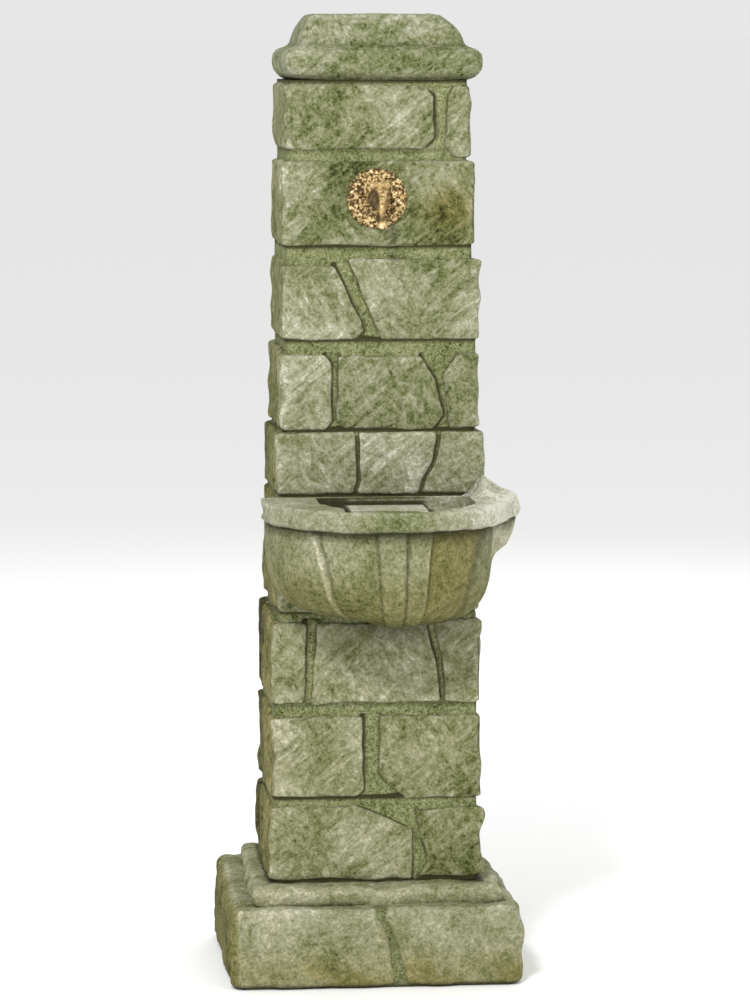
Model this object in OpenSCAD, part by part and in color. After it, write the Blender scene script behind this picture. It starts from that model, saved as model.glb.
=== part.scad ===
// Pillar drinking fountain. A hollow concrete core stands on a stepped plinth and is faced with
// nine courses of stone bedded in mortar. A plug tap sits on a brass rosette, a shell basin below
// it drains through a bottle trap, and a panel at the back gives access to trap and stop valve.
// +Z is up, the front faces -Y, and the origin is the centre of the plinth's underside.

/* [Plinth] */
// Width of the plinth at the ground
plinth_w = 412; // [400:1:430]
// Depth of the plinth at the ground
plinth_d = 404; // [390:1:420]
// Height of the plinth stones
plinth_h = 116; // [105:1:125]
// Width of the step between plinth and column
step_w = 364; // [345:1:380]
// Depth of the step between plinth and column
step_d = 336; // [315:1:350]
// Height of the step
step_h = 26; // [20:1:32]

/* [Column] */
// Width of the column at its foot
foot_w = 308; // [300:1:320]
// Depth of the column at its foot
foot_d = 266; // [260:1:276]
// Width of the column under the cap
head_w = 262; // [258:1:280]
// Depth of the column under the cap
head_d = 226; // [222:1:240]
// How far the mortar lies behind the faces of the stones
joint_recess = 9; // [4:1:14]
// Width of the hollow core
core_w = 182; // [178:1:188]
// Depth of the hollow core
core_d = 146; // [142:1:150]
// Width of the pipe chase in the core
chase_w = 130; // [126:1:134]
// Depth of the pipe chase in the core
chase_d = 96; // [94:1:100]

/* [Cap] */
// Width of the cap's round moulding
cap_w = 288; // [280:1:300]
// Depth of the cap's round moulding
cap_d = 252; // [246:1:262]
// Height of the round moulding
cap_torus_h = 49; // [44:1:54]
// Height of the crown above the moulding
crown_h = 45; // [38:1:50]
// How far the crown is set in from the moulding
crown_inset = 20; // [16:1:24]
// Radius of the crown's rounded shoulders
crown_r = 27; // [20:1:30]

/* [Basin] */
// Radius of the shell under its rim
shell_r = 158; // [154:1:160]
// Height of the shell under its rim
shell_h = 160; // [150:1:165]
// How far the ribs stand out from the shell
rib_out = 3; // [1:1:5]
// Radius of the rim
rim_r = 178; // [174:1:182]
// Height of the rim
rim_h = 30; // [26:1:34]
// Height of the rim's top above the ground
rim_top = 707; // [704:1:709]
// Radius of the bowl at its mouth
bowl_r = 112; // [106:1:114]
// Depth of the bowl
bowl_depth = 92; // [86:1:96]

/* [Tap] */
// Height of the tap above the ground
tap_z = 1137; // [1132:1:1142]
// Radius of the rosette
rosette_r = 44; // [40:1:48]
// Radius of the tap's threaded tail
tail_r = 10.4; // [9.5:0.1:10.5]
// Distance from the stone's face to the axis of the tap's plug
plug_reach = 42; // [40:1:46]
// Distance from the stone's face to the axis of the spout
spout_reach = 68; // [66:1:72]
// How far the spout's lip hangs below the tap's axis
spout_drop = 41; // [36:1:46]

/* [Pipes] */
// Outer radius of the supply pipe
supply_r = 7.5; // [7.5:0.5:8]
// Outer radius of the waste pipe
waste_r = 16; // [15:0.5:16]
// Outer radius of the drain tube from the basin
drain_r = 14; // [12:0.5:14]
// Height of the drain tube above the ground
drain_z = 590; // [588:1:592]
// Height of the stop valve above the ground
valve_z = 455; // [450:1:460]

/* [Hidden] */

stone_colour = [0.62, 0.64, 0.47];
mortar_colour = [0.47, 0.51, 0.31];
concrete_colour = [0.60, 0.59, 0.55];
brass_colour = [0.74, 0.58, 0.36];
copper_colour = [0.72, 0.45, 0.32];
steel_colour = [0.72, 0.73, 0.74];
plastic_colour = [0.90, 0.90, 0.88];
rubber_colour = [0.12, 0.12, 0.12];

fine = 64;
eps = 1;
fit = 0.1;

// Heights of the courses and of the mortar bed on top of each, from the foot up
course_h = [114, 123, 126, 163, 87, 114, 113, 121, 94];
bed_h = [12, 14, 9, 7, 7, 16, 22, 17, 5];
// Upright joints of each course, as [x at the foot, x at the top, width], with the place of a bend
// [x, height] where the joint is bent
front_joints = [
    [[51, -24, 9, [50, 80]]],
    [[-19, -19, 8]],
    [[-101, -101, 7], [91, 77, 8]],
    [],
    [[-32, -32, 5], [68, 86, 9]],
    [[-68, -68, 11], [89, 66, 10, [92, 60]]],
    [[-18, -52, 20]],
    [],
    [[87, 87, 12]]
];
back_joints = [
    [[-20, -32, 10]],
    [[62, 62, 9]],
    [],
    [[-48, -30, 10]],
    [[18, 18, 8], [96, 96, 8]],
    [[-70, -58, 10]],
    [[34, 46, 10]],
    [[-40, -40, 9], [72, 60, 9]],
    [[-8, -8, 10]]
];
side_joints = [[[12, 2, 9]], [], [[-22, -22, 8]], [], [], [[24, 30, 8]], [], [[-14, -6, 9]], []];
side_gap = 8;
plinth_front_joints = [[15, 1, 10]];
plinth_side_joints = [[-30, -22, 10]];
plinth_back_joints = [[-12, 6, 10]];

base_h = 20;
base_w = 300;
base_d = 292;
anchor_dx = 220;
anchor_dy = 200;
anchor_r = 7;
anchor_depth = 80;

column_foot = plinth_h + step_h;
column_top = bed_z(9);
cap_x = 5;
spigot_h = 20;
spigot_play = 3;

tap_course = 7;
tap_face = -course_d(tap_course) / 2;
tap_hole_r = tail_r + 1.1;
rosette_t = 6;
boss_t = 12;
boss_r = 17;
petals = 12;
seal_t = 1.5;
flange_t = 4;
flange_r = 14;
tap_shank_r = 8.5;
plug_y = tap_face - plug_reach;
plug_r = 7;
plug_play = 0.05;
plug_house_r = 11;
plug_house_low = 15;
plug_house_high = 13;
plug_stem_r = 4;
spout_y = tap_face - spout_reach;
spout_r = 6.5;
bend_r = 10;
waterway_r = 4.5;
handle_rise = plug_house_high + 7;
handle_reach = 10;
lobe_r = 5.5;
chase_front = -chase_d / 2;
chase_back = chase_d / 2;
tail_end = chase_front + 16;

riser_y = 25;
pipe_wall = 1;
elbow_low = tap_z - 28;
valve_half = 30;
socket_deep = 10;
lever_y = riser_y + 19;
lever_t = 3;
lever_len = 48;
stem_r = 3;

waste_x = -40;
waste_y = -20;
trap_x = 20;
trap_r = 20;
trap_top = 612;
trap_skirt = 545;
trap_outlet_z = 575;
union_low = 2;
coupling_low = 2;

wall_y = -course_d(2) / 2;
shell_x = -4;
shell_y = wall_y - 42;
rim_x = 8;
rim_y = wall_y - 38;
rim_low = rim_top - rim_h;
bowl_x = trap_x;
bowl_y = wall_y - 76;
bowl_back = wall_y - 20;
bowl_floor = rim_top - bowl_depth;
shell_power = 3;
raised_ribs = [[-90, -38], [-3.5, 21.5], [53, 90]];
rib_start = 80;
sump_r = 25;
sump_low = drain_z - drain_r - 2;
grid_r = 29;
grid_t = 3;
dowel_r = 8;
dowel_x = [-70, 90];
dowel_z = 562;
dowel_in_stone = 50;
dowel_in_basin = 70;
rest_w = 118;
rest_x = -1;
rest_back = wall_y - 107;
rest_front = wall_y - 193;
rest_t = 15;
rest_play = 0.5;
leg = [14, 10];

access_course = 2;
access_w = 112;
access_low = 414;
access_h = 108;
frame_w = 140;
cover_w = 150;
cover_h = 132;
cover_t = 3;
screw_x = 63;
screw_z = 58.5;
screw_r = 2;

function sum_to(list, n) = n == 0 ? 0 : list[n - 1] + sum_to(list, n - 1);
function bed_z(i) = plinth_h + step_h + sum_to(course_h, i) + sum_to(bed_h, i);
function rise(i) = (bed_z(i) + course_h[i] / 2 - bed_z(0)) / (bed_z(9) - bed_z(0));
function course_w(i) = foot_w + (head_w - foot_w) * rise(i);
function course_d(i) = foot_d + (head_d - foot_d) * rise(i);

// The sides of the stone to the left (side = -1) or right (side = 1) of a joint, foot first
function joint_side(joint, h, side) = let (half = side * joint[2] / 2)
    [[joint[0] + half, 0],
     if (len(joint) > 3) [joint[3][0] + half, joint[3][1]],
     [joint[1] + half, h]];
function upward(x, h) = [[x, 0], [x, h]];
function reversed(list) = [for (k = [len(list) - 1:-1:0]) list[k]];

// Outlines of the stones that fill a face of a given width and height between its joints
function face_stones(w, h, joints) = [for (k = [0:len(joints)])
    let (left = k == 0 ? upward(-w / 2, h) : joint_side(joints[k - 1], h, 1),
         right = k == len(joints) ? upward(w / 2, h) : joint_side(joints[k], h, -1))
    concat(left, reversed(right))];

// Quarter of a squared-off ellipse: half width r and drop h, from the rim down to the middle
function shell_drop(x, r, h) = h * pow(1 - pow(min(x / r, 1), shell_power), 1 / shell_power);
function shell_side(r, h, n = 10) = [for (k = [0:n]) let (a = 90 * k / n, x = r * pow(cos(a), 2 / 3))
    [k == n ? 0 : x, k == n ? -h : -shell_drop(x, r, h)]];
function shell_half(r, h) = concat([[0, 0]], shell_side(r, h));
function rib_outline(r, h) = concat([[rib_start, 0]], [for (p = shell_side(r, h)) if (p[0] > rib_start) p],
    [[rib_start, -shell_drop(rib_start, r, h)]]);
function shell_full(r, h) = concat(shell_side(r, h), reversed([for (p = shell_side(r, h)) [-p[0], p[1]]]));
function bowl_z(x, y) = rim_top - shell_drop(norm([x - bowl_x, y - bowl_y]), bowl_r, bowl_depth);

module tube(r_out, r_in, h) {
    difference() {
        cylinder(r = r_out, h = h, $fn = fine);
        translate([0, 0, -eps]) cylinder(r = r_in, h = h + 2 * eps, $fn = fine);
    }
}

// A cylinder along Y from y0 forward to y1
module forward_rod(r, y0, y1) {
    translate([0, y0, 0]) rotate([90, 0, 0]) cylinder(r = r, h = y0 - y1, $fn = fine);
}

module centred_box(w, d, h) {
    translate([-w / 2, -d / 2, 0]) cube([w, d, h]);
}

// A block with the same outline, given as a child by its width, along X and along Y
module two_way_block(w, d) {
    intersection() {
        translate([0, d / 2, 0]) rotate([90, 0, 0]) linear_extrude(d) children(0);
        translate([-w / 2, 0, 0]) rotate([90, 0, 90]) linear_extrude(w) children(1);
    }
}

module bullnose_outline(w, h) {
    translate([h / 2 - w / 2, 0]) square([w - h, h]);
    for (s = [-1, 1]) translate([s * (w - h) / 2, h / 2]) circle(r = h / 2, $fn = fine);
}

// A slab whose four edges are half-round
module bullnose_slab(w, d, h) {
    two_way_block(w, d) {
        bullnose_outline(w, h);
        bullnose_outline(d, h);
    }
}

// A ring of stones round the core: side 0 is the front, 1 the right, 2 the back and 3 the left
module face_ring(w, d, h, inner_w, inner_d, front, side, back) {
    thick_y = (d - inner_d) / 2;
    thick_x = (w - inner_w) / 2;
    side_len = inner_d - 2 * side_gap;
    face_row(0, d / 2, thick_y, face_stones(w, h, front));
    face_row(1, w / 2, thick_x, face_stones(side_len, h, side));
    face_row(2, d / 2, thick_y, face_stones(w, h, back));
    face_row(3, w / 2, thick_x, face_stones(side_len, h, side));
}

module face_row(side, distance, thick, outlines) {
    rotate([0, 0, 90 * side]) translate([0, -distance + thick, 0]) rotate([90, 0, 0])
        for (outline = outlines) linear_extrude(thick) polygon(outline);
}

// All the stones of course i, counted from 0 at the foot
module course_stones(i) {
    translate([0, 0, bed_z(i)]) difference() {
        face_ring(course_w(i), course_d(i), course_h[i], core_w, core_d,
            front_joints[i], side_joints[i], back_joints[i]);
        if (i == access_course) access_gap();
    }
}

// The room that the access frame takes out of the back of its course, from the course's bed
module access_gap() {
    translate([-frame_w / 2, core_d / 2 - eps, -eps])
        cube([frame_w, foot_d / 2, course_h[access_course] + 2 * eps]);
}

module tap_hole() {
    translate([0, 0, tap_z]) forward_rod(tap_hole_r, 0, tap_face - eps);
}

module drain_hole() {
    translate([trap_x, 0, drain_z]) forward_rod(drain_r + fit, 0, bowl_y);
}

module dowel_holes() {
    for (x = dowel_x) translate([x, 0, dowel_z])
        forward_rod(dowel_r + fit, wall_y + dowel_in_stone, wall_y - dowel_in_basin);
}

module anchor_holes() {
    for (x = [-1, 1], y = [-1, 1]) translate([x * anchor_dx / 2, y * anchor_dy / 2, -eps])
        cylinder(r = anchor_r, h = anchor_depth + eps, $fn = fine);
}

module base_slab() {
    color(concrete_colour) difference() {
        centred_box(base_w, base_d, base_h);
        translate([0, riser_y, -eps]) cylinder(r = 15.5, h = base_h + 2 * eps, $fn = fine);
        translate([waste_x, waste_y, -eps]) cylinder(r = 21.5, h = base_h + 2 * eps, $fn = fine);
        anchor_holes();
    }
}

module plinth_core() {
    color(concrete_colour) difference() {
        translate([0, 0, base_h]) centred_box(base_w, base_d, plinth_h - base_h);
        centred_box(chase_w, chase_d, column_top);
        anchor_holes();
    }
}

module plinth_stones() {
    color(stone_colour) face_ring(plinth_w, plinth_d, plinth_h, base_w, base_d,
        plinth_front_joints, plinth_side_joints, plinth_back_joints);
}

module plinth_step() {
    color(stone_colour) difference() {
        translate([0, 0, plinth_h]) bullnose_slab(step_w, step_d, step_h);
        centred_box(chase_w, chase_d, column_top);
    }
}

module column_core() {
    color(concrete_colour) difference() {
        translate([0, 0, column_foot]) centred_box(core_w, core_d, column_top - column_foot);
        centred_box(chase_w, chase_d, column_top + eps);
        tap_hole();
        drain_hole();
        translate([-access_w / 2, 0, access_low]) cube([access_w, core_d, access_h]);
    }
}

// Mortar of every bed and upright joint of the column, and of the plinth's upright joints
module mortar_joints() {
    color(mortar_colour) {
        difference() {
            for (i = [0:8]) translate([0, 0, bed_z(i)])
                centred_box(course_w(i) - 2 * joint_recess, course_d(i) - 2 * joint_recess,
                    course_h[i] + bed_h[i]);
            translate([0, 0, column_foot - eps]) centred_box(core_w, core_d, column_top);
            for (i = [0:8]) course_stones(i);
            translate([0, 0, bed_z(access_course)]) access_gap();
        }
        difference() {
            centred_box(plinth_w - 2 * joint_recess, plinth_d - 2 * joint_recess, plinth_h);
            translate([0, 0, -eps]) centred_box(base_w, base_d, plinth_h + 2 * eps);
            plinth_stones();
        }
    }
}

module plain_course(i) {
    color(stone_colour) course_stones(i);
}

// The course that carries the basin, drilled for its dowels and its drain
module course_4() {
    color(stone_colour) difference() {
        course_stones(3);
        dowel_holes();
        drain_hole();
    }
}

// The course that carries the tap
module course_8() {
    color(stone_colour) difference() {
        course_stones(tap_course);
        tap_hole();
    }
}

module crown_outline(w) {
    translate([-w / 2, 0]) square([w, crown_h - crown_r]);
    translate([crown_r - w / 2, 0]) square([w - 2 * crown_r, crown_h]);
    for (s = [-1, 1]) translate([s * (w / 2 - crown_r), crown_h - crown_r]) intersection() {
        circle(r = crown_r, $fn = fine);
        translate([-crown_r, 0]) square([2 * crown_r, crown_r]);
    }
}

// A crown with quarter-round shoulders
module crown(w, d) {
    two_way_block(w, d) {
        crown_outline(w);
        crown_outline(d);
    }
}

module cap_stone() {
    color(stone_colour) {
        translate([cap_x, 0, column_top]) {
            bullnose_slab(cap_w, cap_d, cap_torus_h);
            translate([0, 0, cap_torus_h]) crown(cap_w - 2 * crown_inset, cap_d - 2 * crown_inset);
        }
        translate([0, 0, column_top - spigot_h])
            centred_box(chase_w - 2 * spigot_play, chase_d - 2 * spigot_play, spigot_h + eps);
    }
}

// Part of the shell between two angles, which are counted from the front towards +X
module shell_sector(outline, from, to) {
    translate([shell_x, shell_y, rim_low]) rotate([0, 0, from - 90])
        rotate_extrude(angle = to - from, $fn = fine) polygon(outline);
}

module shell_back(x, y, r, h, top, length) {
    translate([x, y + length, top]) rotate([90, 0, 0]) linear_extrude(length)
        polygon(shell_full(r, h));
}

// The rim: a half disc with a rounded edge, carried straight back to the wall
module rim() {
    edge = 8;
    translate([rim_x, rim_y, rim_low]) {
        rotate([0, 0, 180]) rotate_extrude(angle = 180, $fn = fine) {
            square([rim_r - edge, rim_h]);
            translate([0, edge]) square([rim_r, rim_h - 2 * edge]);
            for (z = [edge, rim_h - edge]) translate([rim_r - edge, z]) circle(r = edge, $fn = fine);
        }
        translate([-rim_r, 0, 0]) cube([2 * rim_r, wall_y - rim_y, rim_h]);
    }
}

// The swept-up ear at the right end of the rim, with the corbel below it
module ear() {
    ear_d = 55;
    translate([0, wall_y, rim_top]) rotate([90, 0, 0]) linear_extrude(ear_d)
        polygon([[145, 0], [147, 30], [154, 36], [163, 25], [172, 18], [184, 15], [192, 18],
            [199, 11], [200, -5], [195, -17], [187, -40], [187, -66], [176, -86], [158, -106],
            [150, -106]]);
}

module bowl_hollow() {
    translate([bowl_x, bowl_y, rim_top]) rotate([0, 0, 180]) rotate_extrude(angle = 180, $fn = fine)
        polygon(concat([[0, eps], [bowl_r, eps]], shell_side(bowl_r, bowl_depth)));
    shell_back(bowl_x, bowl_y, bowl_r, bowl_depth, rim_top, bowl_back - bowl_y);
    translate([bowl_x - bowl_r, bowl_y, rim_top - eps / 2])
        cube([2 * bowl_r, bowl_back - bowl_y, 2 * eps]);
}

module basin() {
    color(stone_colour) difference() {
        union() {
            shell_sector(shell_half(shell_r, shell_h), -90, 90);
            for (rib = raised_ribs)
                shell_sector(rib_outline(shell_r + rib_out, shell_h + 1), rib[0], rib[1]);
            shell_back(shell_x, shell_y, shell_r + rib_out, shell_h + 1, rim_low, wall_y - shell_y);
            rim();
            ear();
        }
        bowl_hollow();
        translate([bowl_x, bowl_y, sump_low]) cylinder(r = sump_r, h = bowl_depth, $fn = fine);
        translate([bowl_x, bowl_y, bowl_floor - grid_t])
            cylinder(r = grid_r + fit, h = bowl_depth, $fn = fine);
        drain_hole();
        dowel_holes();
        translate([rest_x - rest_w / 2 - rest_play, rest_front - rest_play, rim_top - rest_t])
            cube([rest_w + 2 * rest_play, rest_back - rest_front + rest_play, rest_t + eps]);
    }
}

// The mortar pad between the basin's back and the course that carries it
module basin_bedding() {
    low = dowel_z - 14;
    color(mortar_colour) difference() {
        translate([-110, wall_y, low]) cube([250, -course_d(3) / 2 - wall_y, rim_low - low]);
        dowel_holes();
        drain_hole();
    }
}

module basin_dowels() {
    color(steel_colour) for (x = dowel_x) translate([x, 0, dowel_z])
        forward_rod(dowel_r, wall_y + dowel_in_stone, wall_y - dowel_in_basin);
}

// A flat slab for a cup, let into the rim at the front and on two legs in the bowl
module cup_rest() {
    leg_y = rest_back - 3 - leg[1];
    color(stone_colour) {
        translate([rest_x - rest_w / 2, rest_front, rim_top - rest_t])
            cube([rest_w, rest_back - rest_front, rest_t]);
        for (x = [-46, 31]) {
            low = 1 + max(bowl_z(x, leg_y), bowl_z(x + leg[0], leg_y));
            translate([x, leg_y, low]) cube([leg[0], leg[1], rim_top - rest_t - low + eps]);
        }
    }
}

// A cast disc with a ring of petals round a boss
module rosette() {
    color(brass_colour) translate([0, tap_face, tap_z]) rotate([90, 0, 0]) difference() {
        union() {
            cylinder(r = rosette_r - 3, h = rosette_t, $fn = fine);
            for (k = [0:petals - 1]) rotate([0, 0, k * 360 / petals])
                translate([rosette_r - 8.5, 0, 0]) cylinder(r = 8.5, h = rosette_t - 1, $fn = 24);
            for (k = [0:petals / 2 - 1]) rotate([0, 0, (k + 0.5) * 720 / petals])
                translate([26, 0, 0]) cylinder(r = 7, h = rosette_t + 3, $fn = 24);
            cylinder(r = boss_r, h = boss_t, $fn = fine);
        }
        translate([0, 0, -eps]) cylinder(r = tail_r + fit, h = boss_t + 2 * eps, $fn = fine);
    }
}

module tap_seal() {
    color(rubber_colour) translate([0, tap_face - boss_t, tap_z]) rotate([90, 0, 0])
        tube(flange_r - 1, tail_r + fit, seal_t);
}

// The spout's path as a rod of radius r: forward from the plug, round a bend and down to the lip
module spout_path(r, over) {
    forward_rod(r, plug_y, spout_y + bend_r);
    translate([0, spout_y + bend_r, -bend_r]) rotate([0, 0, 180]) rotate([90, 0, 90])
        rotate_extrude(angle = 90, $fn = fine) translate([bend_r, 0]) circle(r = r, $fn = fine);
    translate([0, spout_y, -spout_drop - over]) cylinder(r = r, h = spout_drop + over - bend_r, $fn = fine);
}

// Tail, flange, plug housing and spout in one casting
module tap_body() {
    flange_y = tap_face - boss_t - seal_t;
    color(brass_colour) translate([0, 0, tap_z]) difference() {
        union() {
            forward_rod(tail_r, tail_end, flange_y - 1);
            forward_rod(flange_r, flange_y, flange_y - flange_t);
            forward_rod(tap_shank_r, flange_y, plug_y);
            translate([0, plug_y, -plug_house_low])
                cylinder(r = plug_house_r, h = plug_house_low + plug_house_high, $fn = fine);
            spout_path(spout_r, 0);
            translate([0, spout_y, -spout_drop]) cylinder(r = spout_r + 2, h = 5, $fn = fine);
        }
        forward_rod(waterway_r, tail_end + eps, plug_y);
        spout_path(waterway_r, eps);
        translate([0, plug_y, -plug_house_low - eps])
            cylinder(r = plug_r, h = plug_house_low + plug_house_high + 2 * eps, $fn = fine);
    }
}

// The turning plug, with its cross handle shut across the waterway
module tap_plug() {
    r = plug_r - plug_play;
    stud = 9;
    color(brass_colour) translate([0, plug_y, tap_z]) difference() {
        union() {
            translate([0, 0, -plug_house_low])
                cylinder(r = r, h = plug_house_low + plug_house_high + 1, $fn = fine);
            translate([0, 0, -plug_house_low - stud]) cylinder(r = 3, h = stud + eps, $fn = fine);
            translate([0, 0, plug_house_high]) cylinder(r = plug_stem_r, h = handle_rise - plug_house_high, $fn = fine);
            translate([0, 0, handle_rise]) rotate([0, 90, 0]) {
                for (s = [-1, 1]) translate([0, 0, s * handle_reach]) sphere(r = lobe_r, $fn = fine);
                cylinder(r = 3.4, h = 2 * handle_reach, center = true, $fn = fine);
            }
        }
        rotate([0, 90, 0]) cylinder(r = waterway_r, h = 4 * r, center = true, $fn = fine);
    }
}

module tap_plug_washer() {
    color(brass_colour) translate([0, plug_y, tap_z - plug_house_low - 2]) tube(8.5, 3 + fit, 1.6);
}

module hex_nut(r, bore_r, h) {
    difference() {
        cylinder(r = r, h = h, $fn = 6);
        translate([0, 0, -eps]) cylinder(r = bore_r, h = h + 2 * eps, $fn = fine);
    }
}

module tap_plug_nut() {
    color(brass_colour) translate([0, plug_y, tap_z - plug_house_low - 6.5]) hex_nut(6.5, 3 + fit, 4.5);
}

module tap_washer() {
    color(steel_colour) translate([0, chase_front + 2, tap_z]) rotate([90, 0, 0])
        tube(17, tail_r + fit, 2);
}

module tap_backnut() {
    color(brass_colour) translate([0, chase_front + 8, tap_z]) rotate([90, 0, 0])
        hex_nut(16, tail_r + fit, 6);
}

// The elbow that joins the riser to the tap's tail
module supply_elbow() {
    joint_y = tail_end - 7;
    color(brass_colour) translate([0, 0, tap_z]) difference() {
        union() {
            forward_rod(13.5, tail_end + 8, joint_y);
            forward_rod(9, riser_y, tail_end);
            translate([0, riser_y, elbow_low - tap_z])
                cylinder(r = 10.5, h = tap_z - elbow_low + 9, $fn = fine);
        }
        forward_rod(tail_r + fit, tail_end + 0.2, joint_y - eps);
        forward_rod(6, riser_y, tail_end - eps);
        translate([0, riser_y, elbow_low - tap_z - eps])
            cylinder(r = supply_r + fit, h = 14 + eps, $fn = fine);
        translate([0, riser_y, elbow_low - tap_z]) cylinder(r = 6, h = tap_z - elbow_low, $fn = fine);
    }
}

module supply_riser() {
    low = valve_z + valve_half - socket_deep;
    color(copper_colour) translate([0, riser_y, low])
        tube(supply_r, supply_r - pipe_wall, elbow_low + 13.5 - low);
}

// A ball valve body: hexagon ends with pipe sockets, a round waist and a neck for the stem
module stop_valve_body() {
    hex_h = 12;
    color(brass_colour) translate([0, riser_y, valve_z]) difference() {
        union() {
            cylinder(r = 12, h = 2 * valve_half, center = true, $fn = fine);
            for (z = [-valve_half, valve_half - hex_h]) translate([0, 0, z])
                cylinder(r = 14, h = hex_h, $fn = 6);
            rotate([-90, 0, 0]) cylinder(r = 6, h = 17, $fn = fine);
        }
        cylinder(r = 6, h = 3 * valve_half, center = true, $fn = fine);
        sphere(r = 9.7, $fn = fine);
        for (z = [-valve_half - eps, valve_half - socket_deep]) translate([0, 0, z])
            cylinder(r = supply_r + fit, h = socket_deep + eps, $fn = fine);
        rotate([-90, 0, 0]) cylinder(r = stem_r + 0.05, h = 18, $fn = fine);
    }
}

module stop_valve_ball() {
    color(steel_colour) translate([0, riser_y, valve_z]) difference() {
        sphere(r = 9.4, $fn = fine);
        cylinder(r = 6, h = 30, center = true, $fn = fine);
        translate([-1.5, 6.5, -6]) cube([3, 4, 12]);
    }
}

// The stem, whose tongue fits the slot in the ball
module stop_valve_stem() {
    color(steel_colour) translate([0, riser_y, valve_z]) {
        translate([0, 9.9, 0]) rotate([-90, 0, 0]) cylinder(r = stem_r, h = 16.1, $fn = fine);
        translate([-1.2, 7.2, -2]) cube([2.4, 3.4, 4]);
    }
}

module stop_valve_lever() {
    color([0.72, 0.16, 0.12]) translate([0, lever_y, valve_z]) difference() {
        union() {
            translate([-6, 0, 0]) cube([12, lever_t, lever_len - 6]);
            for (z = [0, lever_len - 6]) translate([0, 0, z]) rotate([-90, 0, 0])
                cylinder(r = z == 0 ? 8 : 6, h = lever_t, $fn = fine);
        }
        translate([0, -eps, 0]) rotate([-90, 0, 0])
            cylinder(r = stem_r + fit, h = lever_t + 2 * eps, $fn = fine);
    }
}

module stop_valve_nut() {
    color(steel_colour) translate([0, lever_y + lever_t, valve_z]) rotate([-90, 0, 0])
        hex_nut(5.6, stem_r + fit, 3);
}

module supply_tail() {
    low = union_low + 20;
    color(copper_colour) translate([0, riser_y, low])
        tube(supply_r, supply_r - pipe_wall, valve_z - valve_half + socket_deep - low);
}

// The female connector that the water main screws into from below
module supply_union() {
    color(brass_colour) translate([0, riser_y, union_low]) difference() {
        cylinder(r = 14, h = 32, $fn = fine);
        translate([0, 0, -eps]) cylinder(r = 9.3, h = 16 + eps, $fn = fine);
        cylinder(r = 6, h = 30, $fn = fine);
        translate([0, 0, 20]) cylinder(r = supply_r + fit, h = 20, $fn = fine);
    }
}

module pipe_clips() {
    clip_h = 12;
    color(plastic_colour) for (z = [230, 720, 960]) translate([0, riser_y, z]) difference() {
        union() {
            cylinder(r = supply_r + 3, h = clip_h, $fn = fine);
            translate([-5, 0, 0]) cube([10, chase_back - riser_y, clip_h]);
            translate([-12, chase_back - riser_y - 3, 0]) cube([24, 3, clip_h]);
        }
        translate([0, 0, -eps]) cylinder(r = supply_r + fit, h = clip_h + 2 * eps, $fn = fine);
    }
}

module waste_grid() {
    holes = 6;
    color(steel_colour) translate([bowl_x, bowl_y, bowl_floor - grid_t]) difference() {
        union() {
            cylinder(r = grid_r - 0.3, h = grid_t, $fn = fine);
            translate([0, 0, grid_t]) cylinder(r = 4, h = 2, $fn = fine);
        }
        for (k = [0:holes - 1]) rotate([0, 0, k * 360 / holes]) {
            translate([11, 0, -eps]) cylinder(r = 3, h = grid_t + 2 * eps, $fn = 24);
            rotate([0, 0, 180 / holes]) translate([20, 0, -eps])
                cylinder(r = 3.4, h = grid_t + 2 * eps, $fn = 24);
        }
    }
}

module drain_tube() {
    start = bowl_y + sump_r - 2;
    color(copper_colour) translate([trap_x, chase_front + 14, drain_z]) rotate([90, 0, 0])
        tube(drain_r, drain_r - 1.5, chase_front + 14 - start);
}

module drain_washer() {
    color(rubber_colour) translate([trap_x, chase_front + 2, drain_z]) rotate([90, 0, 0])
        tube(21, drain_r + fit, 2);
}

module drain_nut() {
    color(brass_colour) translate([trap_x, chase_front + 7, drain_z]) rotate([90, 0, 0])
        hex_nut(20, drain_r + fit, 5);
}

// The upper part of a bottle trap, with its inlet, dip tube and side outlet
module trap_body() {
    wall = 2.5;
    arm_end = waste_x + 14;
    socket_y = chase_front + 8;
    color(plastic_colour) difference() {
        union() {
            translate([trap_x, waste_y, trap_skirt])
                cylinder(r = trap_r, h = trap_top - trap_skirt, $fn = fine);
            translate([trap_x, 0, drain_z]) forward_rod(drain_r + 3, waste_y, socket_y);
            translate([arm_end, waste_y, trap_outlet_z]) rotate([0, 90, 0])
                cylinder(r = drain_r, h = trap_x - arm_end, $fn = fine);
            translate([trap_x, waste_y, trap_skirt - 25]) cylinder(r = 10, h = 30, $fn = fine);
        }
        difference() {
            translate([trap_x, waste_y, trap_skirt - eps])
                cylinder(r = trap_r - wall, h = trap_top - trap_skirt - wall, $fn = fine);
            translate([trap_x, waste_y, trap_skirt - eps])
                cylinder(r = 10, h = trap_top - trap_skirt, $fn = fine);
        }
        translate([trap_x, waste_y, trap_skirt - 25 - eps])
            cylinder(r = 8.5, h = trap_top - trap_skirt + 20, $fn = fine);
        translate([trap_x, 0, drain_z]) {
            forward_rod(8.5, waste_y, socket_y);
            forward_rod(drain_r + fit, chase_front + 14.3, socket_y - eps);
        }
        translate([arm_end - eps, waste_y, trap_outlet_z]) rotate([0, 90, 0])
            cylinder(r = drain_r - 2, h = trap_x - trap_r + wall + eps - arm_end, $fn = fine);
    }
}

module trap_cup() {
    low = 488;
    lap = 8;
    wall = 2.5;
    color(plastic_colour) translate([trap_x, waste_y, low]) difference() {
        cylinder(r = trap_r + wall, h = trap_skirt - low + lap, $fn = fine);
        translate([0, 0, wall]) cylinder(r = trap_r - wall, h = trap_skirt, $fn = fine);
        translate([0, 0, trap_skirt - low]) cylinder(r = trap_r + fit, h = trap_skirt, $fn = fine);
    }
}

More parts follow.
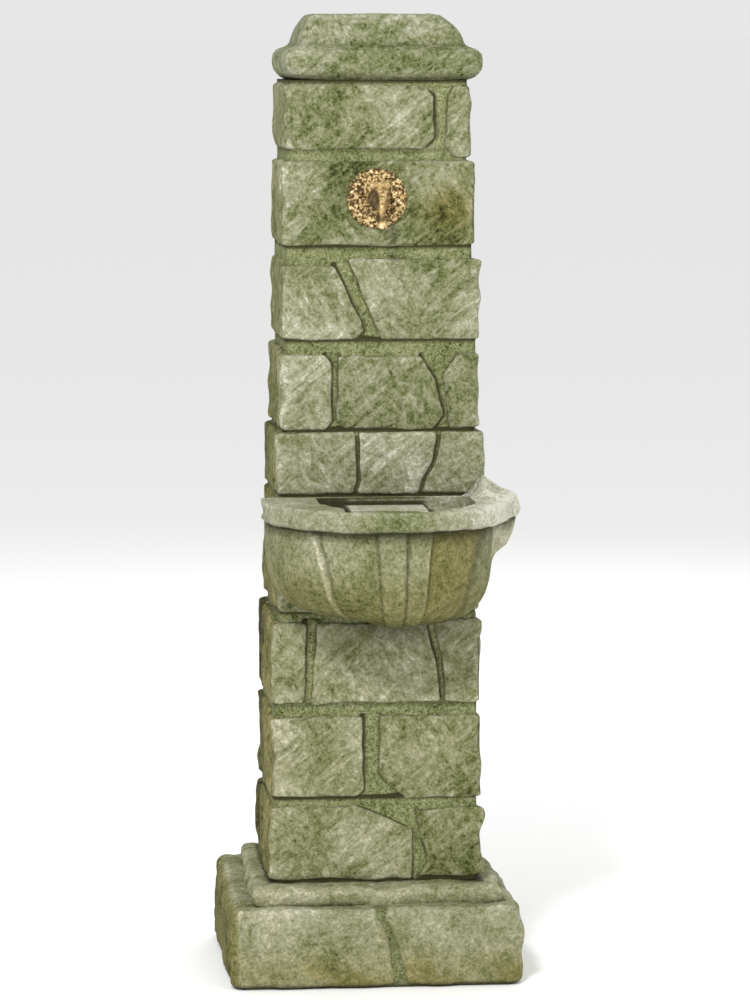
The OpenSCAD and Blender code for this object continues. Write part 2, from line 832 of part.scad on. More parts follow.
// The elbow that turns the trap's outlet down into the waste pipe
module waste_elbow() {
    arm = 24;
    low = 546;
    color(plastic_colour) difference() {
        union() {
            translate([waste_x, waste_y, trap_outlet_z]) rotate([0, 90, 0])
                cylinder(r = drain_r + 2.5, h = arm, $fn = fine);
            translate([waste_x, waste_y, low])
                cylinder(r = waste_r + 2.5, h = trap_outlet_z + drain_r + 2.5 - low, $fn = fine);
        }
        translate([waste_x + 12, waste_y, trap_outlet_z]) rotate([0, 90, 0])
            cylinder(r = drain_r + fit, h = arm, $fn = fine);
        translate([waste_x, waste_y, trap_outlet_z]) rotate([0, 90, 0])
            cylinder(r = drain_r - 2, h = arm, $fn = fine);
        translate([waste_x, waste_y, low - eps]) cylinder(r = waste_r + fit, h = 12 + eps, $fn = fine);
        translate([waste_x, waste_y, low]) cylinder(r = drain_r - 1, h = trap_outlet_z - low, $fn = fine);
    }
}

module waste_pipe() {
    low = coupling_low + 31;
    color(plastic_colour) translate([waste_x, waste_y, low]) tube(waste_r, waste_r - 2, 557.5 - low);
}

// The socket that the drain in the ground pushes into from below
module waste_coupling() {
    color(plastic_colour) translate([waste_x, waste_y, coupling_low]) difference() {
        cylinder(r = waste_r + 4, h = 44, $fn = fine);
        translate([0, 0, -eps]) cylinder(r = waste_r + 0.2, h = 28 + eps, $fn = fine);
        cylinder(r = waste_r - 2, h = 40, $fn = fine);
        translate([0, 0, 31]) cylinder(r = waste_r + fit, h = 20, $fn = fine);
    }
}

module access_screw_places() {
    middle = access_low + access_h / 2;
    for (x = [-1, 1], z = [-1, 1])
        translate([x * screw_x, course_d(access_course) / 2, middle + z * screw_z])
            rotate([-90, 0, 0]) children();
}

module access_frame() {
    low = bed_z(access_course);
    back = course_d(access_course) / 2;
    color(steel_colour) difference() {
        translate([-frame_w / 2, core_d / 2, low])
            cube([frame_w, back - core_d / 2, course_h[access_course]]);
        translate([-access_w / 2, 0, access_low]) cube([access_w, foot_d, access_h]);
        access_screw_places() translate([0, 0, -12]) cylinder(r = screw_r + fit, h = 14, $fn = fine);
    }
}

module access_cover() {
    back = course_d(access_course) / 2;
    middle = access_low + access_h / 2;
    color(steel_colour) difference() {
        translate([-cover_w / 2, back, middle - cover_h / 2]) cube([cover_w, cover_t, cover_h]);
        access_screw_places() translate([0, 0, -eps])
            cylinder(r = screw_r + fit, h = cover_t + 2 * eps, $fn = fine);
    }
}

module access_screws() {
    color(steel_colour) access_screw_places() {
        translate([0, 0, -11]) cylinder(r = screw_r, h = 11 + cover_t + eps, $fn = fine);
        translate([0, 0, cover_t]) cylinder(r = 4, h = 2.2, $fn = fine);
    }
}

base_slab();
plinth_core();
plinth_stones();
plinth_step();
column_core();
mortar_joints();
plain_course(0);  // course_1
plain_course(1);  // course_2
plain_course(2);  // course_3
course_4();
plain_course(4);  // course_5
plain_course(5);  // course_6
plain_course(6);  // course_7
course_8();
plain_course(8);  // course_9
cap_stone();
basin();
basin_bedding();
basin_dowels();
cup_rest();
rosette();
tap_seal();
tap_body();
tap_plug();
tap_plug_washer();
tap_plug_nut();
tap_washer();
tap_backnut();
supply_elbow();
supply_riser();
stop_valve_body();
stop_valve_ball();
stop_valve_stem();
stop_valve_lever();
stop_valve_nut();
supply_tail();
supply_union();
pipe_clips();
waste_grid();
drain_tube();
drain_washer();
drain_nut();
trap_body();
trap_cup();
waste_elbow();
waste_pipe();
waste_coupling();
access_frame();
access_cover();
access_screws();
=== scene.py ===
"""The looks of a pillar drinking fountain: weathered cast stone, a brass rosette and a small tap."""

import math

import bpy
import numpy as np
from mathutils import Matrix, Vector


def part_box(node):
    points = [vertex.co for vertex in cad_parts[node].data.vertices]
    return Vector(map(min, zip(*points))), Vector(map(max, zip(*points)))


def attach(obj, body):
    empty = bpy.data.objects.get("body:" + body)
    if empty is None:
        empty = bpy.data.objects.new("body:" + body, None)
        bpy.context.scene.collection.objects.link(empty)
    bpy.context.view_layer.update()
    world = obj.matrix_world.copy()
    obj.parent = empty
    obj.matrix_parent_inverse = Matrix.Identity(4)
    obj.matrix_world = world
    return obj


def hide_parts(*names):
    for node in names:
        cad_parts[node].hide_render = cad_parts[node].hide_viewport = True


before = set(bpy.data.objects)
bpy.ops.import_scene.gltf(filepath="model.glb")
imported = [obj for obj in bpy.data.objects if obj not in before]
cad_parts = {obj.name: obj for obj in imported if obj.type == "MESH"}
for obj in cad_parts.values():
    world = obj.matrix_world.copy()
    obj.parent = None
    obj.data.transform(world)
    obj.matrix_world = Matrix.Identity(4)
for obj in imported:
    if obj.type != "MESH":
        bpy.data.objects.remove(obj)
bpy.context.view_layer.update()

MM = 0.001
CORNER = "corner"

# Stones of the column's front, from the foot up. Each stone has its left side, its right side, how
# much lower its foot and higher its top lie than the course's, in millimetres, and how light it is,
# from about -1 to 1.5. A side is a list of (x from the middle, height above the course's foot), or
# CORNER where the column ends.
FRONT_STONES = [
    [(CORNER, [(50, 0), (49, 77), (12, 96), (-32, 114)], -5, 0, 0.35),
     ([(54, 0), (73, 28), (66, 65), (55, 98)], CORNER, -5, -6, -0.4)],
    [(CORNER, [(-30, 0), (-21, 10), (-21, 118)], 0, -5, 0.9),
     ([(38, 0), (9, 22), (1, 40), (3, 120)], CORNER, 3, -4, -0.1)],
    # The third course's stones are made lighter as painted light, against the basin's shadow that falls on
    # them.
    [(CORNER, [(-109, 0), (-106, 60), (-105, 116)], 0, -8, 1.1),
     ([(-97, 0), (-89, 118)], [(91, 0), (83, 69), (72, 108)], 0, -7, 1.1),
     ([(97, 0), (93, 69), (83, 108)], CORNER, 0, -4, 0.65)],
    [(CORNER, CORNER, 0, 0, 0.1)],
    [(CORNER, [(-38, 0), (-32, 20), (-35, 84)], 0, 3, 0.85),
     ([(-32, 0), (-26, 20), (-30, 84)], [(57, 0), (62, 20), (77, 47), (84, 80)], 0, 3, 1.25),
     ([(62, 0), (67, 20), (82, 47), (89, 80)], CORNER, 0, 3, 0.4)],
    [(CORNER, [(-78, 0), (-68, 12), (-69, 96), (-78, 109)], 0, -5, 1.4),
     ([(-48, 0), (-61, 12), (-60, 106)], [(80, 0), (94, 20), (83, 71), (60, 106)], 0, -8, -0.2),
     ([(101, 0), (95, 81), (112, 108)], CORNER, 0, -5, -0.4)],
    [(CORNER, [(-34, 0), (-22, 12), (-27, 28), (-64, 106)], 0, -7, 0.05),
     ([(3, 0), (-27, 70), (-45, 116)], CORNER, 1, 3, 0.4)],
    [(CORNER, CORNER, 0, 0, -0.35)],
    [(CORNER, [(64, 0), (80, 17), (79, 76), (66, 92)], 0, -1, 0.2),
     ([(106, -12), (95, 5), (98, 78), (108, 92)], CORNER, 12, -1, 0.1)],
]

# How much further than the course's own sides its stones stand out, left and right, in millimetres
COURSE_REACH = [(5, 0), (6, 1), (8, 3), (4, 3), (7, 12), (3, 5), (2, 9), (5, 5), (5, 0)]

# Upright joints of the other faces, as (x at the foot, x at the top, width), in millimetres
BACK_JOINTS = [[(-20, -32, 10)], [(62, 62, 9)], [(-70, -70, 3), (70, 70, 3)], [(-48, -30, 10)],
               [(18, 18, 8), (96, 96, 8)], [(-70, -58, 10)], [(34, 46, 10)],
               [(-40, -40, 9), (66, 66, 9)], [(-8, -8, 10)]]
SIDE_JOINTS = [[(12, 2, 9)], [], [(-22, -22, 8)], [], [], [(24, 30, 8)], [], [(-14, -6, 9)], []]
FRONT, RIGHT, BACK, LEFT = range(4)  # the faces, by the quarter turns about Z that bring them round
COURSES = len(FRONT_STONES)
ACCESS_COURSE = 3        # the access frame stands in place of this course's middle stone at the back
ROSETTE_COURSE = 8
SIDE_GAP = 8             # width of the joints at the column's corners, in millimetres
LEAN = 5 * MM            # how far the column's head stands to the right of its foot
CAP_SHIFT = 5 * MM       # how far the cap stands to the right
PLINTH_REACH = 12 * MM   # how much further left than right the plinth's blocks stand

STONE_STEP = 3.2 * MM    # spacing of the points on the faces of the stones
FACE_ROUND = 6 * MM      # radius from the face to the sides, at a joint and at the column's corner
JOINT_ROUND = 5 * MM
CORNER_ROUND = 12 * MM
RECESS_FRONT = 3.5 * MM  # how far the mortar lies behind the stones, in front and at the sides
RECESS_SIDE = 5 * MM
STRIP_DEPTH = 18 * MM    # depth of the mortar in the upright joints

# How dark the bed under each course is where the stones shade it, from the foot up
BED_SHADE = [0.92, 0.95, 0.45, 0.85, 0.92, 0.95, 0.9, 0.9, 0.35, 0.9]


# ---------------- noise and meshes

def lattice(cell, seed):
    """A repeatable number from -1 to 1 for every point of a whole-number grid."""
    n = cell[..., 0] * 73856093 ^ cell[..., 1] * 19349663 ^ cell[..., 2] * 83492791 ^ seed * 40503
    n = ((n ^ (n >> 13)) * 1274126177) & 0x7FFFFFFF
    n = ((n ^ (n >> 15)) * 668265263) & 0x7FFFFFFF
    return ((n >> 8) & 0xFFFF) / 32767.5 - 1


def bumps(points, size, seed=0):
    """Smooth noise from -1 to 1 whose bumps are about size metres across."""
    q = np.asarray(points) / size
    cell = np.floor(q).astype(np.int64)
    part = q - cell
    part = part * part * (3 - 2 * part)
    total = 0
    for corner in range(8):
        offset = np.array([corner & 1, corner >> 1 & 1, corner >> 2 & 1])
        weight = np.prod(np.where(offset == 1, part, 1 - part), axis=-1)
        total = total + weight * lattice(cell + offset, seed)
    return total


def rough(points, seed=0):
    """The relief of hewn stone, from about -1 to 1: broad dents, chisel marks and grit."""
    return (0.50 * bumps(points, 55 * MM, seed) + 0.28 * bumps(points, 22 * MM, seed + 1)
            + 0.15 * bumps(points, 9 * MM, seed + 2) + 0.07 * bumps(points, 4 * MM, seed + 3))


def smoothstep(low, high, value):
    t = np.clip((value - low) / (high - low), 0, 1)
    return t * t * (3 - 2 * t)


def bell(value, middle, width):
    """1 at the middle, falling off smoothly on both sides."""
    return np.exp(-((value - middle) / width) ** 2)


def grid_lines(length, step):
    """Places along a length, closer together near both ends."""
    ends = np.array([0, 0.3, 0.65, 1.05, 1.5]) * JOINT_ROUND
    count = max(2, round((length - 2 * ends[-1]) / step) + 1)
    middle = np.linspace(ends[-1], length - ends[-1], count)
    return np.concatenate([ends[:-1], middle, length - ends[:-1][::-1]])


class Shape:
    """Points, faces and per-point values that grow into one mesh."""

    def __init__(self):
        self.points = []
        self.faces = []
        self.values = {}
        self.count = 0

    def add(self, points, faces, **values):
        self.points.append(np.asarray(points, float))
        self.faces += [tuple(int(i) + self.count for i in face) for face in faces]
        for name, value in values.items():
            self.values.setdefault(name, []).append(np.broadcast_to(value, len(points)).astype(float))
        self.count += len(points)

    def piece(self, name, body, slot, material, *nodes, crisp=None):
        """Makes the mesh, says what it rides on and hides the CAD nodes it stands for. Edges sharper
        than crisp degrees stay hard."""
        mesh = bpy.data.meshes.new(name)
        mesh.from_pydata(np.concatenate(self.points).tolist(), [], self.faces)
        for key, parts in self.values.items():
            layer = mesh.attributes.new(key, "FLOAT", "POINT")
            layer.data.foreach_set("value", np.concatenate(parts).astype(np.float32))
        mesh.shade_smooth()
        if crisp:
            mesh.set_sharp_from_angle(angle=math.radians(crisp))
        mesh.materials.append(material)
        mesh.validate()
        obj = put(name, mesh)
        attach(obj, body)
        if nodes:
            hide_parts(*nodes)


def rings_to_faces(rings, around):
    """Quads between successive rings of points, which run anticlockwise seen from the last ring."""
    faces = []
    for r in range(rings - 1):
        a, b = r * around, (r + 1) * around
        for k in range(around):
            n = (k + 1) % around
            faces.append((a + k, a + n, b + n, b + k))
    return faces


def closed_faces(rings, around):
    """The same, with the first and the last ring closed."""
    last = (rings - 1) * around
    return rings_to_faces(rings, around) + [tuple(range(around))[::-1], tuple(range(last, last + around))]


def normals_of(points, rings, around):
    """Outward directions of points in rings, as rings_to_faces takes them."""
    grid = points.reshape(rings, around, 3)
    along = np.gradient(grid, axis=0)
    across = np.roll(grid, -1, axis=1) - np.roll(grid, 1, axis=1)
    normal = np.cross(across, along).reshape(-1, 3)
    return normal / np.maximum(np.linalg.norm(normal, axis=1, keepdims=True), 1e-12)


# ---------------- stones

def side_at(side, corner_x, heights):
    """The x of a stone's side at each height, all in metres."""
    if side == CORNER:
        return np.full(len(heights), corner_x)
    xs, zs = zip(*sorted(side, key=lambda point: point[1]))
    return np.interp(heights, np.array(zs) * MM, np.array(xs) * MM)


def stone(height, depth, left, right, corners, foot=0, top=0, rounds=None, seed=0, relief=2.2,
          step=STONE_STEP, wave=1.8):
    """A hewn block. Its face looks along -Y at y = 0 and its foot is at z = 0. Returns the points, the
    faces, how near each point lies to an edge of the face, and how much it is turned from the light."""
    low, high = -foot * MM, height + top * MM
    tall = high - low
    rounds = rounds or {}
    half_way = np.array([height / 2])
    wide = side_at(right, corners[1], half_way)[0] - side_at(left, corners[0], half_way)[0]
    us, vs = grid_lines(wide, step), grid_lines(tall, step)
    if CORNER in (left, right) or rounds:
        ws = grid_lines(depth, step * 1.3)
    else:
        ws = np.array([0, 0.3, 0.65, 1.05, 2, 3.5]) * FACE_ROUND
    ws = np.append(ws[ws < depth - 1e-6], depth)
    nu, nv = len(us), len(vs)
    face = np.array([(u, 0, v) for v in vs for u in us])
    loop = (list(range(nu)) + [i * nu + nu - 1 for i in range(1, nv)]
            + [(nv - 1) * nu + j for j in range(nu - 2, -1, -1)] + [i * nu for i in range(nv - 2, 0, -1)])
    points = [face]
    for w in ws[1:]:
        ring = face[loop].copy()
        ring[:, 1] = w
        points.append(ring)
    points = np.concatenate(points)
    faces = [(i * nu + j, i * nu + j + 1, (i + 1) * nu + j + 1, (i + 1) * nu + j)
             for i in range(nv - 1) for j in range(nu - 1)]
    around = len(loop)
    for r in range(len(ws) - 1):
        near = loop if r == 0 else [nu * nv + (r - 1) * around + k for k in range(around)]
        far = [nu * nv + r * around + k for k in range(around)]
        for k in range(around):
            n = (k + 1) % around
            faces.append((near[k], far[k], far[n], near[n]))
    faces.append(tuple(nu * nv + (len(ws) - 2) * around + k for k in range(around)))

    round_left = rounds.get("left", CORNER_ROUND if left == CORNER else JOINT_ROUND)
    round_right = rounds.get("right", CORNER_ROUND if right == CORNER else JOINT_ROUND)
    round_low, round_high = rounds.get("low", JOINT_ROUND), rounds.get("high", JOINT_ROUND)
    round_face = rounds.get("face", FACE_ROUND)
    x, y, z = points.T.copy()
    over = np.stack([
        np.minimum(x / round_left - 1, 0) + np.maximum(1 - (wide - x) / round_right, 0),
        np.minimum(y / round_face - 1, 0) + np.maximum(1 - (depth - y) / round_face, 0),
        np.minimum(z / round_low - 1, 0) + np.maximum(1 - (tall - z) / round_high, 0)], axis=1)
    length = np.linalg.norm(over, axis=1)
    out = over / np.maximum(length, 1e-9)[:, None]
    radius = np.stack([np.where(over[:, 0] < 0, round_left, round_right),
                       np.full(len(x), round_face),
                       np.where(over[:, 2] < 0, round_low, round_high)], axis=1)
    points = points + (out - over) * radius * (length > 1e-9)[:, None]
    edge = np.linalg.norm(out[:, [0, 2]], axis=1) * (out[:, 1] < -0.25)

    spot = points + seed * np.array([0.37, 0.11, 0.23])
    bow = (1 - np.abs(2 * x / wide - 1) ** 4) * (1 - np.abs(2 * z / tall - 1) ** 4) * (y < round_face)
    lift = relief * MM * rough(spot, seed) + 1.6 * MM * bow * relief / 2.2
    points = points + out * lift[:, None]
    at_corner = (smoothstep(20 * MM, 0, x) * (left == CORNER)
                 + smoothstep(wide - 20 * MM, wide, x) * (right == CORNER))
    points[:, 0] += (wave + 1.6 * at_corner) * MM * bumps(spot, 26 * MM, seed + 5)
    points[:, 2] += wave * MM * bumps(spot, 34 * MM, seed + 6)

    share_x = points[:, 0] / wide
    points[:, 2] = low + points[:, 2] / tall * tall
    xl = side_at(left, corners[0], points[:, 2])
    xr = side_at(right, corners[1], points[:, 2])
    points[:, 0] = xl + share_x * (xr - xl)
    shaded = 1 - 0.75 * np.clip(out[:, 2], 0, 1) - 0.5 * np.clip(-out[:, 0], 0, 1)
    return points, faces, edge, shaded


def turned(points, side):
    """Turns points by a number of quarter turns about Z: 0 front, 1 right, 2 back, 3 left."""
    c, s = [(1, 0), (0, 1), (-1, 0), (0, -1)][side]
    x, y, z = points.T
    return np.stack([c * x - s * y, s * x + c * y, z], axis=1)


def plain_row(joints, height):
    """The stones of a row of the given height with plain joints, in the form of FRONT_STONES."""
    sides = [CORNER]
    for x_foot, x_top, width in joints:
        sides += [[(x_foot + half, 0), (x_top + half, height)] for half in (-width / 2, width / 2)]
    sides.append(CORNER)
    return [(left, right, 0, 0, None) for left, right in zip(sides[::2], sides[1::2])]


def stone_row(shape, side, stones, ends, distance, foot_z, height, depth, shift, seed, ends_round,
              crease=0.0, **how):
    """One face's stones of a course, added to a shape. Ends that are round lie at the column's corners.
    A crease darkens the stones along their sides, as far in as it is wide, where others shade them."""
    for number, (left, right, foot, top, light) in enumerate(stones):
        rounds = {} if ends_round else {"left": JOINT_ROUND, "right": JOINT_ROUND}
        points, faces, edge, shaded = stone(height, depth, left, right, ends, foot, top,
                                            rounds=rounds, seed=seed * 7 + side * 3 + number, **how)
        dark = 0.0
        if crease:
            from_left = points[:, 0] - side_at(left, ends[0], points[:, 2])
            from_right = side_at(right, ends[1], points[:, 2]) - points[:, 0]
            dark = np.maximum(0.92 * smoothstep(crease + 5 * MM, crease + 1.5 * MM, from_left),
                              0.6 * smoothstep(crease + 3 * MM, crease + 0.5 * MM, from_right))
        points[:, 1] -= distance
        points = turned(points, side)
        points[:, 0] += shift
        points[:, 2] += foot_z
        tone = 0.35 * lattice(np.array([seed, side, number]), 5) if light is None else light
        shape.add(points, faces, edge=edge, tone=tone, deep=dark, shaded=shaded)


# ---------------- materials

def add(tree, kind, settings=(), **inputs):
    """Adds a node. An input is a number, a colour, or another node's output to link."""
    node = tree.nodes.new(kind)
    for key, value in dict(settings).items():
        setattr(node, key, value)
    for key, value in inputs.items():
        socket = node.inputs[int(key[1:])] if key[0] == "i" and key[1:].isdigit() else node.inputs[key]
        if isinstance(value, bpy.types.NodeSocket):
            tree.links.new(value, socket)
        else:
            socket.default_value = value
    return node


def calc(tree, operation, a, b=0.0, c=0.0):
    return add(tree, "ShaderNodeMath", {"operation": operation}, i0=a, i1=b, i2=c).outputs[0]


def noise_map(tree, where, scale, detail=4.0, roughness=0.55, distortion=0.0):
    return add(tree, "ShaderNodeTexNoise", Vector=where, Scale=scale, Detail=detail,
               Roughness=roughness, Distortion=distortion).outputs["Fac"]


def to_range(tree, value, low, high):
    """Lays a value from 0 to 1 over another range."""
    return add(tree, "ShaderNodeMapRange", Value=value, i3=low, i4=high).outputs[0]


def weigh(tree, total, *parts):
    """The total with maps of about 0.5 laid over it, each given as (map, weight)."""
    for part, weight in parts:
        total = calc(tree, "MULTIPLY_ADD", calc(tree, "SUBTRACT", part, 0.5), weight, total)
    return total


def place(tree, turn=(0, 0, 0), stretch=(1, 1, 1)):
    """The object's own coordinates for a pattern that is turned, and stretched along its own axes."""
    coords = add(tree, "ShaderNodeTexCoord").outputs["Object"]
    return add(tree, "ShaderNodeMapping", {"vector_type": "TEXTURE"}, Vector=coords, Rotation=turn,
               Scale=stretch).outputs["Vector"]


def value_of(tree, name):
    return add(tree, "ShaderNodeAttribute", {"attribute_name": name}).outputs["Fac"]


def ramp(tree, value, stops):
    node = add(tree, "ShaderNodeValToRGB", Fac=value)
    while len(node.color_ramp.elements) < len(stops):
        node.color_ramp.elements.new(0.5)
    for element, (at, colour) in zip(node.color_ramp.elements, stops):
        element.position = at
        element.color = (*colour, 1)
    return node.outputs["Color"]


def mix(tree, share, first, second, blend="MIX"):
    node = add(tree, "ShaderNodeMix", {"data_type": "RGBA", "blend_type": blend})
    sockets = node.inputs["Factor"], node.inputs[6], node.inputs[7]
    for socket, value in zip(sockets, (share, first, second)):
        if isinstance(value, bpy.types.NodeSocket):
            tree.links.new(value, socket)
        else:
            socket.default_value = value if socket.type == "VALUE" else (*value, 1)
    return node.outputs[2]


def surface(name, **uniform):
    """A material with its shader, ready for nodes. Uniform values sit on the shader's own sockets."""
    material = bpy.data.materials.new(name)
    material.use_nodes = True
    tree = material.node_tree
    shader = tree.nodes["Principled BSDF"]
    for key, value in uniform.items():
        shader.inputs[key.replace("_", " ")].default_value = value
    return material, tree, shader


def finish_surface(tree, shader, colour, roughness, height, depth, strength):
    """Links colour, roughness and a bump of the given height map, depth in metres."""
    tree.links.new(colour, shader.inputs["Base Color"])
    tree.links.new(roughness, shader.inputs["Roughness"])
    bump = add(tree, "ShaderNodeBump", Height=height, Distance=depth, Strength=strength)
    tree.links.new(bump.outputs["Normal"], shader.inputs["Normal"])


UMBER = (0.030, 0.026, 0.008)
MOSS = (0.078, 0.096, 0.026)
OLIVE = (0.148, 0.168, 0.066)
STONE = (0.225, 0.238, 0.128)
PALE = (0.315, 0.325, 0.212)
LIME = (0.440, 0.445, 0.325)
WHITE = (0.680, 0.675, 0.570)
RUST = (0.84, 0.74, 0.46)   # a tint that multiplies the stone's colour


def brush_marks(tree, turn, scale):
    """Long strokes of a brush, slanting by the given turn about Y."""
    where = place(tree, turn=(0.2, turn, 0.3), stretch=(1, 1, 5))
    return noise_map(tree, where, scale, 4, 0.6, 0.8)


def weathered_stone(name, light=0.0, warm=0.25, streaks=1.0):
    """Cast stone with limewash brushed over moss: slanting pale strokes, fine grit, painted shade in hollows
    and joints, and a painted highlight along the edges.
    """
    material, tree, shader = surface(name, Specular_IOR_Level=0.2)
    plain = place(tree)
    broad = noise_map(tree, plain, 10, 3)
    side = noise_map(tree, plain, 14, 2)
    side = add(tree, "ShaderNodeMapRange", Value=side, i1=0.42, i2=0.58).outputs[0]
    first, second = brush_marks(tree, 0.85, 110), brush_marks(tree, -0.6, 95)
    stroke = calc(tree, "MULTIPLY_ADD", calc(tree, "SUBTRACT", second, first), side, first)
    mottle = noise_map(tree, plain, 90, 6, 0.72, 0.3)
    grit = noise_map(tree, plain, 250, 4, 0.8)
    tone = calc(tree, "MULTIPLY_ADD", value_of(tree, "tone"), 0.13, 0.495 + light)
    # Painted highlight: lighter along the edges of the faces.
    total = calc(tree, "MULTIPLY_ADD", value_of(tree, "edge"), 0.11, tone)
    total = weigh(tree, total, (broad, 0.85), (stroke, 1.1 * streaks), (mottle, 0.9), (grit, 1.15))
    colour = ramp(tree, total, [(0.12, UMBER), (0.24, MOSS), (0.38, OLIVE), (0.52, STONE),
                                (0.67, PALE), (0.85, LIME), (1.0, WHITE)])
    patch = noise_map(tree, place(tree, stretch=(1, 1, 1.4)), 17, 4, 0.6, 0.6)
    patch = add(tree, "ShaderNodeMapRange", {"clamp": True}, Value=patch, i1=0.50, i2=0.75,
                i3=0.0, i4=warm).outputs[0]
    spread = calc(tree, "MULTIPLY", value_of(tree, "rust"), calc(tree, "MULTIPLY_ADD", mottle, 1.6, 0.2))
    patch = add(tree, "ShaderNodeClamp", Value=calc(tree, "ADD", patch, spread)).outputs[0]
    colour = mix(tree, patch, colour, RUST, "MULTIPLY")
    # Painted shade from the mesh darkens the colour towards umber.
    colour = mix(tree, value_of(tree, "deep"), colour, UMBER)
    rough_part = to_range(tree, mottle, 0.95, 0.75)
    height = calc(tree, "MULTIPLY_ADD", grit, 0.6, calc(tree, "MULTIPLY_ADD", stroke, 0.5, mottle))
    finish_surface(tree, shader, colour, rough_part, height, 0.0040, 0.9)
    return material


def mossy_mortar():
    """Mortar under a film of moss, with painted shade where it meets the stones."""
    material, tree, shader = surface("mossy_mortar", Specular_IOR_Level=0.15)
    plain = place(tree)
    broad = noise_map(tree, plain, 22, 4)
    mottle = noise_map(tree, plain, 130, 6, 0.70, 0.3)
    grit = noise_map(tree, plain, 360, 3, 0.7)
    total = weigh(tree, 0.5, (broad, 0.45), (mottle, 1.0), (grit, 1.5))
    colour = ramp(tree, total, [(0.15, UMBER), (0.30, (0.085, 0.100, 0.030)),
                                (0.50, (0.170, 0.188, 0.078)), (0.72, (0.265, 0.280, 0.150)),
                                (0.90, (0.380, 0.390, 0.255))])
    # Painted shade from the mesh darkens the colour towards umber.
    colour = mix(tree, value_of(tree, "deep"), colour, UMBER)
    rough_part = to_range(tree, mottle, 0.95, 0.78)
    height = calc(tree, "MULTIPLY_ADD", grit, 0.5, mottle)
    finish_surface(tree, shader, colour, rough_part, height, 0.0030, 0.7)
    return material


def plain_concrete():
    material, tree, shader = surface("grey_concrete", Specular_IOR_Level=0.3)
    mottle = noise_map(tree, place(tree), 40, 8, 0.65)
    pits = add(tree, "ShaderNodeTexVoronoi", Vector=place(tree), Scale=170.0).outputs["Distance"]
    colour = ramp(tree, mottle, [(0.30, (0.20, 0.195, 0.18)), (0.52, (0.32, 0.315, 0.295)),
                                 (0.72, (0.42, 0.415, 0.39))])
    rough_part = to_range(tree, mottle, 0.95, 0.78)
    height = calc(tree, "MULTIPLY_ADD", pits, 0.6, mottle)
    finish_surface(tree, shader, colour, rough_part, height, 0.002, 0.5)
    return material


def metal(name, dark, base, bright, roughness, grain=(1, 1, 1), scale=160.0):
    """Metal under a mottled film of tarnish, with a grain that can be stretched."""
    material, tree, shader = surface(name, Metallic=1.0)
    film = noise_map(tree, place(tree), 55, 6, 0.65)
    line = noise_map(tree, place(tree, stretch=grain), scale, 4, 0.6)
    colour = ramp(tree, weigh(tree, film, (line, 0.5)), [(0.30, dark), (0.52, base), (0.72, bright)])
    worn = to_range(tree, film, roughness + 0.12, roughness - 0.08)
    finish_surface(tree, shader, colour, worn, line, 0.0003, 0.5)
    return material


def aged_brass():
    """Cast brass: bright on the relief's crests, brown patina in its hollows; on the tap, painted shade and
    a painted highlight too.
    """
    material, tree, shader = surface("aged_brass", Metallic=0.35, Specular_IOR_Level=0.5)
    film = noise_map(tree, place(tree), 260, 4, 0.65)
    crest = weigh(tree, value_of(tree, "crest"), (film, 0.8))
    colour = ramp(tree, crest, [(0.10, (0.056, 0.034, 0.010)), (0.32, (0.190, 0.120, 0.038)),
                                (0.55, (0.390, 0.262, 0.096)), (0.85, (0.730, 0.560, 0.300))])
    worn = to_range(tree, crest, 0.62, 0.36)
    finish_surface(tree, shader, colour, worn, film, 0.0006, 0.5)
    return material


def moulded(name, dark, light, roughness, scale=300.0):
    """Moulded plastic, rubber or paint with a faint orange-peel grain."""
    material, tree, shader = surface(name)
    cloud = noise_map(tree, place(tree), 25, 4)
    grain = noise_map(tree, place(tree), scale, 2)
    colour = ramp(tree, cloud, [(0.35, dark), (0.65, light)])
    worn = to_range(tree, cloud, roughness + 0.06, roughness - 0.06)
    finish_surface(tree, shader, colour, worn, grain, 0.0002, 0.4)
    return material


# ---------------- camera, light and floor

CAMERA_AT, CAMERA_AIM = (-0.612, -6.231, 1.372), (0.003, -0.060, 0.695)
CAMERA_LENS, SENSOR_WIDTH = 153.7, 36
LIGHT_AIM = (0, 0, 0.75)
FLOOR_REACH = 1500.0
VIEW_END = 4000


def put(name, data, location=(0, 0, 0), aim=None):
    """A new object in the scene, turned towards a point if one is given."""
    obj = bpy.data.objects.new(name, data)
    obj.location = location
    if aim:
        obj.rotation_euler = (Vector(aim) - obj.location).to_track_quat("-Z", "Y").to_euler()
    bpy.context.scene.collection.objects.link(obj)
    return obj


def camera():
    data = bpy.data.cameras.new("camera")
    data.lens = CAMERA_LENS
    data.sensor_width = SENSOR_WIDTH
    data.clip_end = VIEW_END
    bpy.context.scene.camera = put("camera", data, CAMERA_AT, CAMERA_AIM)


def area_light(name, location, size, power):
    data = bpy.data.lights.new(name, "AREA")
    data.shape = "DISK"
    data.size = size
    data.energy = power
    put(name, data, location, LIGHT_AIM)


def sky():
    world = bpy.data.worlds.new("pale_sky")
    world.use_nodes = True
    background = world.node_tree.nodes["Background"]
    background.inputs["Color"].default_value = (1.0, 1.0, 1.0, 1)
    background.inputs["Strength"].default_value = 0.80
    bpy.context.scene.world = world


def ground():
    mesh = bpy.data.meshes.new("floor")
    corners = [(x * FLOOR_REACH, y * FLOOR_REACH, 0) for x, y in ((-1, -1), (1, -1), (1, 1), (-1, 1))]
    mesh.from_pydata(corners, [], [(0, 1, 2, 3)])
    mesh.materials.append(surface("pale_floor", Roughness=0.95, Specular_IOR_Level=0.0,
                                  Base_Color=(0.985, 0.985, 0.98, 1))[0])
    floor = put("floor", mesh)


